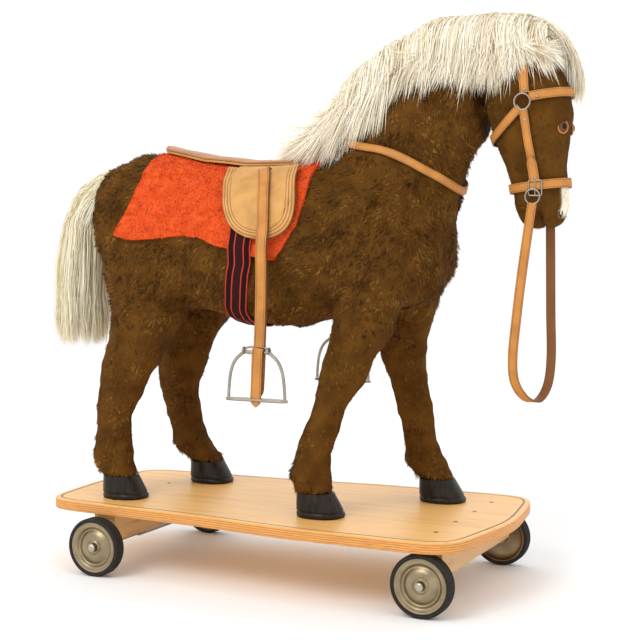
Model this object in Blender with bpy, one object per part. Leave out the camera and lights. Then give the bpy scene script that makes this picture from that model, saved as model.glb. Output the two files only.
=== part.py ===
"""A plush ride-on horse that stands on a plywood board with four wheels.

The horse faces +X and its left side is +Y. Every object is one piece of the toy. Lengths are
in metres. The plush panels are solids of cover and stuffing, and steel rods run through the
legs and the neck to a board inside the torso, which carries the rider.
"""

import math

import bmesh
import bpy
from mathutils import Matrix, Vector

GAP = 0.0003  # between pieces that touch
FRAME_SHIFT_X = -0.0362  # puts the origin midway between the tail's back and the forelock's front

# Wheels, axles and deck
WHEEL_RADIUS = 0.050
DISC_RADIUS = 0.0435
TYRE_WIDTH = 0.024
AXLE_RADIUS = 0.005
WHEEL_SEGMENTS = 24
WHEEL_FACE_Y = 0.201  # outer face of each wheel
REAR_AXLE_X = -0.258
FRONT_AXLE_X = 0.338
BEAM_WIDTH = 0.044
BEAM_HALF_LENGTH = 0.162
BEAM_BOTTOM_Z = WHEEL_RADIUS + AXLE_RADIUS + GAP
DECK_BOTTOM_Z = 0.1023
DECK_THICKNESS = 0.018
DECK_TOP_Z = DECK_BOTTOM_Z + DECK_THICKNESS
DECK_REAR_X = -0.384
DECK_FRONT_X = 0.414
DECK_REAR_HALF = 0.181
DECK_FRONT_HALF = 0.212
KEEPER_HALF_LENGTH = 0.060
KEEPER_THICKNESS = 0.002
KEEPER_FOOT = 0.017  # from the axle's middle to the end of each flat foot

# Legs: side, hoof's middle x and y, and rows from the hoof to the body of (height, middle x,
# half depth, middle y, half width)
HOOF_TOP_Z = 0.160
LEG_SEAM_Z = 0.438
HIND_TOP = [(0.520, -0.216, 0.088, 0.076, 0.054), (0.580, -0.225, 0.080, 0.066, 0.048)]
FORE_TOP = [(0.520, 0.212, 0.064, 0.072, 0.048), (0.580, 0.216, 0.062, 0.062, 0.046)]
LEGS = {
    "right_hind": (-1, -0.256, 0.100, [
        (0.160, -0.266, 0.031, 0.100, 0.029), (0.187, -0.282, 0.038, 0.100, 0.033),
        (0.220, -0.281, 0.032, 0.100, 0.028), (0.260, -0.276, 0.032, 0.100, 0.028),
        (0.300, -0.266, 0.042, 0.100, 0.031), (0.350, -0.249, 0.053, 0.099, 0.037),
        (0.400, -0.227, 0.058, 0.096, 0.043), (0.438, -0.211, 0.071, 0.091, 0.049)] + HIND_TOP),
    "left_hind": (1, -0.196, 0.097, [
        (0.160, -0.206, 0.031, 0.097, 0.029), (0.187, -0.236, 0.038, 0.097, 0.033),
        (0.220, -0.246, 0.033, 0.097, 0.028), (0.260, -0.257, 0.035, 0.097, 0.029),
        (0.300, -0.267, 0.041, 0.098, 0.032), (0.350, -0.259, 0.050, 0.098, 0.038),
        (0.400, -0.241, 0.058, 0.096, 0.043), (0.438, -0.220, 0.070, 0.091, 0.049)] + HIND_TOP),
    "right_fore": (-1, 0.124, 0.100, [
        (0.160, 0.114, 0.031, 0.100, 0.029), (0.190, 0.104, 0.036, 0.100, 0.033),
        (0.225, 0.112, 0.029, 0.100, 0.027), (0.290, 0.136, 0.030, 0.099, 0.029),
        (0.345, 0.160, 0.037, 0.098, 0.034), (0.400, 0.182, 0.046, 0.094, 0.040),
        (0.438, 0.193, 0.053, 0.088, 0.045)] + FORE_TOP),
    "left_fore": (1, 0.258, 0.108, [
        (0.160, 0.247, 0.031, 0.108, 0.029), (0.190, 0.224, 0.037, 0.107, 0.033),
        (0.225, 0.216, 0.029, 0.106, 0.027), (0.265, 0.210, 0.028, 0.105, 0.028),
        (0.327, 0.197, 0.035, 0.101, 0.033), (0.400, 0.188, 0.043, 0.095, 0.040),
        (0.438, 0.193, 0.052, 0.088, 0.045)] + FORE_TOP),
}
HOOF_SOLE = (0.0400, 0.0340)
HOOF_CROWN = (0.0300, 0.0290)
HOOF_RIM = 0.006  # height of the upright rim above the sole
ROD_RADIUS = 0.006
ROD_CLEARANCE = 2 * GAP
BORE_REACH = 0.002  # how far a rod's bore is cut past the rod's ends

# The plank inside the torso: the leg rods and the neck rod end on it
BODY_BOARD_Z = (0.545, 0.560)
BODY_BOARD_X = (-0.255, 0.245)
BODY_BOARD_HALF = 0.092

# Torso: (x, middle z, half height, half width), from the rump to the chest
TORSO_FULLNESS = 2.3
TORSO = [
    (-0.340, 0.622, 0.026, 0.034), (-0.333, 0.616, 0.064, 0.078), (-0.308, 0.602, 0.102, 0.112),
    (-0.262, 0.590, 0.131, 0.130), (-0.200, 0.583, 0.134, 0.136), (-0.120, 0.574, 0.127, 0.137),
    (-0.040, 0.559, 0.131, 0.139), (0.040, 0.556, 0.134, 0.137), (0.120, 0.572, 0.130, 0.128),
    (0.200, 0.574, 0.124, 0.115), (0.260, 0.570, 0.104, 0.096), (0.294, 0.566, 0.074, 0.070),
    (0.308, 0.564, 0.034, 0.036),
]

# Neck: (crest x, crest z, throat x, throat z, half width), from the shoulders to the head
NECK = [
    (0.108, 0.690, 0.305, 0.560, 0.098), (0.148, 0.758, 0.326, 0.645, 0.074),
    (0.208, 0.826, 0.338, 0.694, 0.061), (0.278, 0.868, 0.353, 0.718, 0.055),
    (0.350, 0.883, 0.371, 0.734, 0.050),
]
NECK_SEAM = 1  # the neck panel starts at this section

# Head: (z, back x, front x, half width), from the muzzle to the poll
HEAD_FULLNESS = 2.2
HEAD = [
    (0.591, 0.444, 0.483, 0.019), (0.600, 0.430, 0.497, 0.031), (0.622, 0.420, 0.506, 0.037),
    (0.650, 0.416, 0.504, 0.038), (0.690, 0.404, 0.500, 0.044), (0.730, 0.386, 0.505, 0.052),
    (0.775, 0.373, 0.509, 0.055), (0.820, 0.365, 0.500, 0.052), (0.858, 0.362, 0.476, 0.044),
    (0.882, 0.372, 0.446, 0.027),
]
MANE_CLEARANCE = 0.0065  # room for the bridle between the head and the mane
MANE_SPACE_TOP = [(0.882, 0.372, 0.462, 0.036), (0.8955, 0.376, 0.462, 0.034)]
EYE_RADIUS = 0.0095
EYE_PLACE = (0.4958, 0.0204, 0.7476)
EAR_BASE = (0.461, 0.0240, 0.857)
EAR_TIP = (0.4815, 0.0370, 0.889)
BIT_PLACE = (0.461, 0.0, 0.640)
BIT_RING_RADIUS = 0.011
BIT_WIRE_RADIUS = 0.0018
BIT_BAR_RADIUS = 0.0022
BIT_RING_Y = 0.048

# Tack: each layer's offset from the torso's surface, and the widths of the straps
FUR_LAYER = 0.0028
BLANKET_THICKNESS = 0.008
BLANKET_TOP = FUR_LAYER + BLANKET_THICKNESS
GIRTH_OFFSET = BLANKET_TOP + 0.0014
WEBBING_THICKNESS = 0.003
FLAP_OFFSET = GIRTH_OFFSET + WEBBING_THICKNESS + 0.0008
FLAP_THICKNESS = 0.0035
SEAT_THICKNESS = 0.006
FLAP_HALF = 0.066
FLAP_FOOT_HALF = 0.012
FLAP_FOOT_Z = 0.576
FLAP_TOP_TURN = math.radians(62)
GIRTH_X = (-0.034, 0.008)
GIRTH_TOP_Z = 0.635
BRIDLE_WIDTH = 0.015
BRIDLE_THICKNESS = 0.0026
BRIDLE_OFFSET = 0.0012 + BRIDLE_THICKNESS / 2  # from the plush to the middle of a strap
HEADSTALL_X = 0.4625  # where the cheek strap starts, at the noseband
BREAST_STRAP_WIDTH = 0.013
BREAST_STRAP_OFFSET = 0.0053
BREAST_STRAP_SHIFT = 0.0085  # towards the head, clear of the neck's seam
THROAT_LASH_WIDTH = 0.013
STIRRUP_STRAP_WIDTH = 0.021
STIRRUP_STRAP_THICKNESS = 0.0028  # of one layer of the doubled leather
STIRRUP_CLEARANCE = 0.0056
STIRRUP_LOOP_GAP = 0.0045
STIRRUP_X = 0.040
STIRRUP_HINGE_Z = 0.684
STIRRUP_BAR_Z = 0.394
STIRRUP_BAR_HALF = 0.021
STIRRUP_TREAD_Z = 0.316
STIRRUP_TREAD_HALF = 0.055
STIRRUP_LEG_HALF = 0.047
STIRRUP_WIRE_RADIUS = 0.0028
STRAP_END_Z = 0.302
STRAP_END_STEP = 0.004  # the rear end is this much shorter than the front one
TAIL_HINGE = (-0.3475, 0.0, 0.676)
REIN_TOP_Z = 0.6265
REIN_WIDTH = 0.015
REIN_THICKNESS = 0.0026

COLOURS = {
    "plywood": ((0.72, 0.42, 0.17), 0.45, 0.0),
    "beam_wood": ((0.62, 0.33, 0.10), 0.55, 0.0),
    "steel": ((0.55, 0.55, 0.52), 0.35, 1.0),
    "wheel_metal": ((0.46, 0.40, 0.30), 0.38, 0.8),
    "tyre_rubber": ((0.030, 0.024, 0.018), 0.75, 0.0),
    "brown_plush": ((0.125, 0.055, 0.012), 0.90, 0.0),
    "pale_hair": ((0.85, 0.74, 0.52), 0.70, 0.0),
    "hoof_black": ((0.020, 0.016, 0.013), 0.35, 0.0),
    "eye_glass": ((0.25, 0.09, 0.02), 0.10, 0.0),
    "orange_plush": ((0.85, 0.07, 0.02), 0.90, 0.0),
    "saddle_leather": ((0.70, 0.34, 0.11), 0.50, 0.0),
    "webbing": ((0.045, 0.012, 0.014), 0.80, 0.0),
}


# ---------------------------------------------------------------- helpers


def clear_scene():
    for item in list(bpy.data.objects):
        bpy.data.objects.remove(item, do_unlink=True)


def material(slot):
    """The Principled material of a slot, made once."""
    if slot in bpy.data.materials:
        return bpy.data.materials[slot]
    colour, roughness, metallic = COLOURS[slot]
    made = bpy.data.materials.new(slot)
    made.use_nodes = True
    shader = made.node_tree.nodes["Principled BSDF"]
    shader.inputs["Base Color"].default_value = (*colour, 1.0)
    shader.inputs["Roughness"].default_value = roughness
    shader.inputs["Metallic"].default_value = metallic
    return made


def add_object(name, mesh, slot, smooth=True):
    """A mesh as an object with its material, its normals pointing out."""
    work = bmesh.new()
    work.from_mesh(mesh)
    bmesh.ops.recalc_face_normals(work, faces=work.faces)
    work.to_mesh(mesh)
    work.free()
    if smooth:
        mesh.shade_smooth()
        mesh.set_sharp_from_angle(angle=math.radians(40))
    made = bpy.data.objects.new(name, mesh)
    mesh.materials.append(material(slot))
    bpy.context.scene.collection.objects.link(made)
    made.parent = bpy.data.objects["toy"]
    return made


def from_rings(name, rings, slot, closed=False, smooth=True):
    """A solid skinned over rings of points. It has flat ends, or joins up if closed."""
    count = len(rings[0])
    points = [tuple(p) for ring in rings for p in ring]
    last = len(rings) if closed else len(rings) - 1
    faces = []
    for i in range(last):
        a, b = i * count, ((i + 1) % len(rings)) * count
        for k in range(count):
            n = (k + 1) % count
            faces.append((a + k, a + n, b + n, b + k))
    if not closed:
        faces.append(tuple(range(count)))
        faces.append(tuple(range((len(rings) - 1) * count, len(rings) * count)))
    mesh = bpy.data.meshes.new(name)
    mesh.from_pydata(points, [], faces)
    return add_object(name, mesh, slot, smooth)


def round_ring(centre, across, along, count, fullness=2.0):
    """Points round an oval with the half axes across and along. Fullness over 2 squares it off."""
    ring = []
    for k in range(count):
        turn = 2 * math.pi * k / count
        c, s = math.cos(turn), math.sin(turn)
        u = math.copysign(abs(c) ** (2 / fullness), c)
        v = math.copysign(abs(s) ** (2 / fullness), s)
        ring.append(Vector(centre) + Vector(across) * u + Vector(along) * v)
    return ring


def smooth_path(points, steps):
    """A Catmull-Rom curve through the points, with so many steps between two of them."""
    points = [Vector(p) for p in points]
    padded = [2 * points[0] - points[1]] + points + [2 * points[-1] - points[-2]]
    path = []
    for i in range(len(points) - 1):
        p0, p1, p2, p3 = padded[i:i + 4]
        for k in range(steps):
            t = k / steps
            path.append(0.5 * (2 * p1 + (p2 - p0) * t + (2 * p0 - 5 * p1 + 4 * p2 - p3) * t ** 2
                               + (3 * p1 - p0 - 3 * p2 + p3) * t ** 3))
    path.append(points[-1])
    return path


def headings(path, closed=False):
    """The direction of travel at each point of a path."""
    found = []
    for i in range(len(path)):
        before = path[i - 1] if (i or closed) else path[i]
        after = path[(i + 1) % len(path)] if (i < len(path) - 1 or closed) else path[i]
        found.append((Vector(after) - Vector(before)).normalized())
    return found


def tube(name, path, radius, sides, slot, closed=False):
    """A round bar along a path."""
    side = Vector((0, 1, 0))
    rings = []
    for point, heading in zip(path, headings(path, closed)):
        if abs(heading.dot(side)) > 0.95:
            side = Vector((1, 0, 0))
        side = (side - heading * side.dot(heading)).normalized()
        rings.append(round_ring(point, side * radius, heading.cross(side) * radius, sides))
    return from_rings(name, rings, slot, closed)


def strap(name, path, facing, width, thickness, slot, closed=False):
    """A flat strap along a path. Facing gives the way out of its face at each point."""
    rings = []
    for point, heading, out in zip(path, headings(path, closed), facing):
        out = Vector(out)
        out = (out - heading * out.dot(heading)).normalized()
        side = heading.cross(out) * (width / 2)
        lift = out * (thickness / 2)
        rings.append([point - side - lift, point + side - lift, point + side + lift,
                      point - side + lift])
    return from_rings(name, rings, slot, closed)


def sheet(name, inner, outer, slot):
    """A closed sheet between two grids of points that lie face to face."""
    rows, columns = len(inner), len(inner[0])
    size = rows * columns
    points = [tuple(p) for row in inner for p in row] + [tuple(p) for row in outer for p in row]
    faces = []
    for i in range(rows - 1):
        for k in range(columns - 1):
            a, b = i * columns + k, (i + 1) * columns + k
            faces.append((a, a + 1, b + 1, b))
            faces.append((size + a, size + b, size + b + 1, size + a + 1))
    rim = [(0, k) for k in range(columns)] + [(i, columns - 1) for i in range(1, rows)]
    rim += [(rows - 1, k) for k in range(columns - 2, -1, -1)] + [(i, 0) for i in range(rows - 2, 0, -1)]
    for (i, k), (j, m) in zip(rim, rim[1:] + rim[:1]):
        a, b = i * columns + k, j * columns + m
        faces.append((a, b, size + b, size + a))
    mesh = bpy.data.meshes.new(name)
    mesh.from_pydata(points, [], faces)
    return add_object(name, mesh, slot)


def turned(name, profile, slot, segments):
    """A ring or disc turned about the Y axis from (radius, y) points that go round its section."""
    work = bmesh.new()
    corners = [work.verts.new((radius, y, 0)) for radius, y in profile]
    edges = [work.edges.new((a, b)) for a, b in zip(corners, corners[1:] + corners[:1])]
    bmesh.ops.spin(work, geom=corners + edges, cent=(0, 0, 0), axis=(0, 1, 0), steps=segments,
                   angle=2 * math.pi)
    bmesh.ops.remove_doubles(work, verts=work.verts, dist=1e-6)
    mesh = bpy.data.meshes.new(name)
    work.to_mesh(mesh)
    work.free()
    return add_object(name, mesh, slot)


def hang(made, hinge):
    """Moves a piece's origin to its joint and leaves the piece where it is."""
    made.data.transform(Matrix.Translation(-Vector(hinge)))
    made.location = hinge


def outline_solid(name, outline, low, high, slot, bevel=0.0):
    """An outline in X and Y given a height from low to high, with its top and bottom edges eased."""
    rings = [[(x, y, low) for x, y in outline], [(x, y, high) for x, y in outline]]
    made = from_rings(name, rings, slot)
    if bevel:
        ease = made.modifiers.new("eased edges", "BEVEL")
        ease.width = bevel
        ease.segments = 1
        ease.limit_method = "ANGLE"
    return made


def box(name, low, high, slot, bevel=0.0):
    outline = [(low[0], low[1]), (high[0], low[1]), (high[0], high[1]), (low[0], high[1])]
    return outline_solid(name, outline, low[2], high[2], slot, bevel)


def combine(target, other, operation):
    """Adds a Boolean of another object, which the finished model leaves out."""
    step = target.modifiers.new(operation.lower() + " " + other.name, "BOOLEAN")
    step.operation = operation
    step.object = other
    other.hide_render = True
    other.display_type = "WIRE"


def rounded_outline(corners, radii, steps):
    """A closed outline with its corners rounded by arcs."""
    outline = []
    count = len(corners)
    for i, radius in enumerate(radii):
        corner = Vector(corners[i])
        back = (Vector(corners[i - 1]) - corner).normalized()
        ahead = (Vector(corners[(i + 1) % count]) - corner).normalized()
        half = back.angle(ahead) / 2
        centre = corner + (back + ahead).normalized() * (radius / math.sin(half))
        start = corner + back * (radius / math.tan(half)) - centre
        end = corner + ahead * (radius / math.tan(half)) - centre
        sweep = start.angle_signed(end)
        for k in range(steps + 1):
            turn = Matrix.Rotation(-sweep * k / steps, 2)
            outline.append(tuple(centre + turn @ start))
    return outline


# ---------------------------------------------------------------- body surfaces


def between(table, key):
    """A row of a table worked out at a place between its rows, by straight lines."""
    for low, high in zip(table, table[1:]):
        if low[0] <= key <= high[0]:
            t = (key - low[0]) / (high[0] - low[0])
            return [a + (b - a) * t for a, b in zip(low, high)]
    return list(table[0] if key < table[0][0] else table[-1])


def torso_point(x, turn, offset, side=1):
    """A point on the torso, offset outwards. Turn 0 is the flank and 90 degrees the back."""
    _, middle, half_height, half_width = between(TORSO, x)
    c, s = math.cos(turn), math.sin(turn)
    power = 2 / TORSO_FULLNESS
    y = (half_width + offset) * math.copysign(abs(c) ** power, c)
    z = (half_height + offset) * math.copysign(abs(s) ** power, s)
    return Vector((x, side * y, middle + z))


def torso_turn(x, z, offset):
    """The turn at which the offset torso has this height."""
    _, middle, half_height, _ = between(TORSO, x)
    ratio = max(-1.0, min(1.0, (z - middle) / (half_height + offset)))
    return math.copysign(math.asin(abs(ratio) ** (TORSO_FULLNESS / 2)), ratio)


def head_point(z, turn, offset):
    """A point on the head, offset outwards. Turn 0 is the face and 90 degrees the left cheek."""
    _, back, front, half_width = between(HEAD, z)
    c, s = math.cos(turn), math.sin(turn)
    power = 2 / HEAD_FULLNESS
    x = ((front - back) / 2 + offset) * math.copysign(abs(c) ** power, c)
    y = (half_width + offset) * math.copysign(abs(s) ** power, s)
    return Vector(((front + back) / 2 + x, y, z))


def head_facing(z, turn):
    """The way out of the head at a point on it."""
    round_it = head_point(z, turn + 0.02, 0.0) - head_point(z, turn - 0.02, 0.0)
    up_it = head_point(z + 0.004, turn, 0.0) - head_point(z - 0.004, turn, 0.0)
    return round_it.cross(up_it).normalized()


def neck_section(row, grow=0.0):
    """Centre, half axis from throat to crest, and half axis across, of one neck section."""
    crest_x, crest_z, throat_x, throat_z, half_width = row
    crest, throat = Vector((crest_x, 0, crest_z)), Vector((throat_x, 0, throat_z))
    axis = (crest - throat) / 2
    axis += axis.normalized() * grow
    return (crest + throat) / 2, axis, Vector((0, half_width + grow, 0))


# ---------------------------------------------------------------- carriage


def deck():
    """The plywood board: wider at the front, with round corners and slightly bowed ends."""
    half = [(DECK_REAR_X + 0.006, DECK_REAR_HALF - 0.012), (-0.060, DECK_REAR_HALF + 0.006),
            (0.110, DECK_FRONT_HALF - 0.004), (DECK_FRONT_X - 0.022, DECK_FRONT_HALF)]
    corners = half + [(DECK_FRONT_X + 0.010, 0.0)] + [(x, -y) for x, y in reversed(half)]
    corners.append((DECK_REAR_X - 0.008, 0.0))
    radii = [0.040, 0.30, 0.30, 0.050, 0.30, 0.050, 0.30, 0.30, 0.040, 0.30]
    outline = rounded_outline(corners, radii, 3)
    return outline_solid("deck_board", outline, DECK_BOTTOM_Z, DECK_TOP_Z, "plywood", bevel=0.0015)


def axle_set(prefix, x):
    """A beam with its axle under it and the keeper that holds the axle."""
    half = BEAM_WIDTH / 2
    box(prefix + "_axle_beam", (x - half, -BEAM_HALF_LENGTH, BEAM_BOTTOM_Z),
        (x + half, BEAM_HALF_LENGTH, DECK_BOTTOM_Z - GAP), "beam_wood", bevel=0.0012)
    end = WHEEL_FACE_Y + 0.0010
    tube(prefix + "_axle", [Vector((x, -end, WHEEL_RADIUS)), Vector((x, end, WHEEL_RADIUS))],
         AXLE_RADIUS, 16, "steel")
    keeper(prefix + "_axle_keeper", x)


def keeper(name, x):
    """A pressed steel strip: two feet flat on the beam and a trough round the axle."""
    inner = AXLE_RADIUS + GAP
    outer = inner + KEEPER_THICKNESS
    top = BEAM_BOTTOM_Z - GAP
    under = top - KEEPER_THICKNESS
    arc = [math.pi + math.pi * k / 8 for k in range(9)]
    section = [(-KEEPER_FOOT, top), (-inner, top)]
    section += [(inner * math.cos(a), WHEEL_RADIUS + inner * math.sin(a)) for a in arc]
    section += [(inner, top), (KEEPER_FOOT, top), (KEEPER_FOOT, under), (outer, under)]
    section += [(outer * math.cos(a), WHEEL_RADIUS + outer * math.sin(a)) for a in reversed(arc)]
    section += [(-outer, under), (-KEEPER_FOOT, under)]
    rings = [[(x + u, y, z) for u, z in section] for y in (-KEEPER_HALF_LENGTH, KEEPER_HALF_LENGTH)]
    from_rings(name, rings, "steel")


def wheel(prefix, x, side):
    """A dished disc, its tyre and the domed cap on the axle's end. Its origin is on the axle."""
    face = WHEEL_FACE_Y
    bore = AXLE_RADIUS + GAP
    inner_face = face - TYRE_WIDTH
    disc_profile = [
        (bore, inner_face + 0.002), (bore, face - 0.001), (0.011, face - 0.001), (0.024, face - 0.003),
        (0.034, face - 0.0065), (0.038, face - 0.002), (DISC_RADIUS, face - 0.002),
        (DISC_RADIUS, inner_face + 0.003), (0.038, inner_face + 0.003), (0.034, face - 0.0105),
        (0.013, face - 0.0080), (0.011, inner_face + 0.002),
    ]
    inside = DISC_RADIUS + GAP
    tyre_profile = [
        (inside, inner_face), (inside, face), (0.0480, face), (WHEEL_RADIUS, face - 0.004),
        (WHEEL_RADIUS, inner_face + 0.004), (0.0480, inner_face),
    ]
    place = (x, 0, WHEEL_RADIUS)
    for suffix, profile, slot in (("_wheel_disc", disc_profile, "wheel_metal"),
                                  ("_tyre", tyre_profile, "tyre_rubber")):
        made = turned(prefix + suffix, [(r, side * y) for r, y in profile], slot, WHEEL_SEGMENTS)
        made.location = place
    cap_low = face + 0.0010 + GAP
    dome = [(0.0072, 0.0), (0.0068, 0.0022), (0.0045, 0.0038), (0.0012, 0.0044)]
    rings = [round_ring((x, side * (cap_low + rise), WHEEL_RADIUS), (radius, 0, 0), (0, 0, radius), 12)
             for radius, rise in dome]
    from_rings(prefix + "_hub_cap", rings, "wheel_metal")


# ---------------------------------------------------------------- horse


def leg_path(name, grow=0.0):
    """The bent rod inside a leg, from the deck's top to the body board."""
    side, _, _, rows = LEGS[name]
    points = [Vector((rows[0][1], side * rows[0][3], DECK_TOP_Z + GAP - grow))]
    points += [Vector((x, side * y, z)) for z, x, _, y, _ in rows[:-1]]
    points.append(Vector((rows[-2][1], side * rows[-2][3], BODY_BOARD_Z[0] - GAP + grow)))
    return points


def rod(name, path_at, solids):
    """A steel rod, and its bore through the solids that it runs in."""
    tube(name + "_rod", path_at(0.0), ROD_RADIUS, 8, "steel")
    bore = tube(name + "_bore", path_at(BORE_REACH), ROD_RADIUS + ROD_CLEARANCE, 8, "steel")
    for solid in solids:
        combine(solid, bore, "DIFFERENCE")


def leg_rings(rows, side, count=16):
    return [round_ring((x, side * y, z), (depth, 0, 0), (0, half, 0), count)
            for z, x, depth, y, half in rows]


def leg(name):
    """A leg panel from the hoof to the body seam, its hoof, and the steel rod inside them."""
    side, hoof_x, hoof_y, rows = LEGS[name]
    lower = [row for row in rows if row[0] <= LEG_SEAM_Z]
    made = from_rings(name + "_leg", leg_rings(lower, side), "brown_plush")
    sole_z, crown_z = DECK_TOP_Z + GAP, HOOF_TOP_Z - GAP
    hoof_rows = [
        (sole_z, hoof_x, hoof_y, HOOF_SOLE), (sole_z + HOOF_RIM, hoof_x, hoof_y, HOOF_SOLE),
        (crown_z, rows[0][1], rows[0][3], HOOF_CROWN),
    ]
    hoof = from_rings(name + "_hoof", [
        round_ring((x, side * y, z), (depth, 0, 0), (0, half, 0), 20, 2.3)
        for z, x, y, (depth, half) in hoof_rows], "hoof_black")
    rod(name + "_leg", lambda grow: leg_path(name, grow), [made, hoof, bpy.data.objects["torso"]])


def torso():
    """The body panel, with the tops of the legs and the root of the neck sewn into it."""
    made = from_rings("torso", [
        round_ring((x, 0, z), (0, half, 0), (0, 0, height), 24, TORSO_FULLNESS)
        for x, z, height, half in TORSO], "brown_plush")
    for name, (side, _, _, rows) in LEGS.items():
        upper = [(LEG_SEAM_Z + GAP, *rows[-3][1:])] + rows[-2:]
        joined = from_rings(name + "_haunch", leg_rings(upper, side), "brown_plush")
        combine(made, joined, "UNION")
    root = neck_solid("neck_root", NECK[:NECK_SEAM + 1])
    combine(made, root, "UNION")
    board_low = (BODY_BOARD_X[0] - GAP, -BODY_BOARD_HALF - GAP, BODY_BOARD_Z[0] - GAP)
    board_high = (BODY_BOARD_X[1] + GAP, BODY_BOARD_HALF + GAP, BODY_BOARD_Z[1] + GAP)
    pocket = box("board_pocket", board_low, board_high, "plywood")
    combine(made, pocket, "DIFFERENCE")
    box("body_board", (BODY_BOARD_X[0], -BODY_BOARD_HALF, BODY_BOARD_Z[0]),
        (BODY_BOARD_X[1], BODY_BOARD_HALF, BODY_BOARD_Z[1]), "plywood", bevel=0.001)
    return made


def neck_solid(name, rows, grow=0.0, slides=(0.0, 0.0)):
    """The neck over some of its sections. The slides move its two end sections towards the head."""
    rings = []
    for i, row in enumerate(rows):
        centre, axis, across = neck_section(row, grow)
        if i in (0, len(rows) - 1):
            centre = centre + across.cross(axis).normalized() * slides[0 if i == 0 else 1]
        rings.append(round_ring(centre, across, axis, 20))
    return from_rings(name, rings, "brown_plush")


def neck_rod_path(grow=0.0):
    """The bent rod from the body board up the neck and into the head."""
    line = [(0.222, BODY_BOARD_Z[1] + GAP - grow), (0.222, 0.600), (0.232, 0.660), (0.262, 0.735),
            (0.322, 0.800), (0.385, 0.818), (0.440 + grow, 0.808)]
    return [Vector((x, 0, z)) for x, z in line]


def head_solid(name, rows, grow=0.0):
    rings = []
    for z, back, front, half_width in rows:
        reach = (front - back) / 2 + grow
        rings.append(round_ring(((back + front) / 2, 0, z), (reach, 0, 0), (0, half_width + grow, 0), 20,
                                HEAD_FULLNESS))
    return from_rings(name, rings, "brown_plush")


def neck_and_head():
    neck = neck_solid("neck", NECK[NECK_SEAM:], slides=(2 * GAP, 0.0))
    head = head_solid("head", HEAD)
    rod("neck", neck_rod_path, [bpy.data.objects["torso"], neck, head])
    for side, name in ((-1, "right"), (1, "left")):
        eye(name, side, head)
        ear(name + "_ear", side)
        combine(head, ear(name + "_ear_space", side, grow=0.0010), "DIFFERENCE")
    bit(head)


def ball(name, centre, radius, slot):
    rings = []
    for k in range(1, 8):
        tilt = math.pi * k / 8
        level = Vector(centre) + Vector((0, radius * math.cos(tilt), 0))
        reach = radius * math.sin(tilt)
        rings.append(round_ring(level, (reach, 0, 0), (0, 0, reach), 14))
    return from_rings(name, rings, slot)


def eye(name, side, head):
    x, y, z = EYE_PLACE
    ball(name + "_eye", (x, side * y, z), EYE_RADIUS, "eye_glass")
    socket = ball(name + "_socket", (x, side * y, z), EYE_RADIUS + 3 * GAP, "eye_glass")
    combine(head, socket, "DIFFERENCE")


def ear(name, side, grow=0.0):
    """A small leaf-shaped ear that stands on the poll and leans out."""
    base, tip = (Vector((x, side * y, z)) for x, y, z in (EAR_BASE, EAR_TIP))
    extra = grow / (tip - base).length
    flat_way = Vector((0, 0.8, -0.6 * side))
    rings = []
    for share, wide, thick in ((-extra, 0.010, 0.007), (0.4, 0.011, 0.006), (1 + extra, 0.003, 0.002)):
        rings.append(round_ring(base.lerp(tip, share), (wide + grow, 0, 0), flat_way * (thick + grow), 10))
    return from_rings(name, rings, "brown_plush")


def bit(head):
    """A bar through the mouth with a ring at each end."""
    x, _, z = BIT_PLACE
    bar = bit_bar("bit", BIT_RING_Y, BIT_BAR_RADIUS)
    for side, name in ((-1, "right"), (1, "left")):
        path = [Vector((x + BIT_RING_RADIUS * math.sin(2 * math.pi * k / 16), side * BIT_RING_Y,
                        z + BIT_RING_RADIUS * math.cos(2 * math.pi * k / 16))) for k in range(16)]
        ring = tube(name + "_bit_ring", path, BIT_WIRE_RADIUS, 6, "steel", closed=True)
        combine(bar, ring, "UNION")
    combine(head, bit_bar("bit_bore", BIT_RING_Y + BORE_REACH, BIT_BAR_RADIUS + 2 * GAP), "DIFFERENCE")


def bit_bar(name, half_length, radius):
    """A straight bar from ring to ring, at the height of the rings' tops."""
    x, _, z = BIT_PLACE
    ends = [Vector((x, y, z + BIT_RING_RADIUS)) for y in (-half_length, half_length)]
    return tube(name, ends, radius, 8, "steel")


def hank(name, rows):
    """A body of hair over sections of (x, z, half width, half thickness)."""
    path = [Vector((x, 0, z)) for x, z, _, _ in rows]
    rings = []
    for point, heading, (_, _, half, thick) in zip(path, headings(path), rows):
        up = Vector((-heading.z, 0, heading.x))
        rings.append(round_ring(point, (0, half, 0), up * thick, 14))
    return from_rings(name, rings, "pale_hair")


def mane():
    """The hair along the crest and over the forehead, hollowed to sit on the neck and head."""
    made = hank("mane", [
        (0.104, 0.740, 0.030, 0.014), (0.132, 0.782, 0.054, 0.032), (0.176, 0.832, 0.068, 0.050),
        (0.236, 0.866, 0.073, 0.054), (0.306, 0.880, 0.073, 0.052), (0.380, 0.876, 0.072, 0.050),
        (0.440, 0.872, 0.070, 0.048), (0.490, 0.850, 0.052, 0.036), (0.509, 0.812, 0.034, 0.022),
        (0.513, 0.780, 0.020, 0.012),
    ])
    neck_space = neck_solid("neck_space", NECK, MANE_CLEARANCE, (0.0, MANE_CLEARANCE))
    head_space = head_solid("head_space", HEAD[:-1] + MANE_SPACE_TOP, MANE_CLEARANCE)
    spaces = [neck_space, head_space] + [bpy.data.objects[name + "_ear_space"] for name in ("right", "left")]
    for space in spaces:
        combine(made, space, "DIFFERENCE")


def tail():
    """The hank of long hair that hangs from the rump."""
    line = [
        (-0.3475, 0.676, 0.014), (-0.362, 0.664, 0.021), (-0.386, 0.642, 0.029), (-0.404, 0.600, 0.036),
        (-0.412, 0.545, 0.040), (-0.415, 0.480, 0.042), (-0.416, 0.420, 0.042), (-0.416, 0.392, 0.038),
        (-0.415, 0.376, 0.020),
    ]
    hang(hank("tail", [(x, z, radius, radius) for x, z, radius in line]), TAIL_HINGE)


# ---------------------------------------------------------------- saddle


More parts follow.
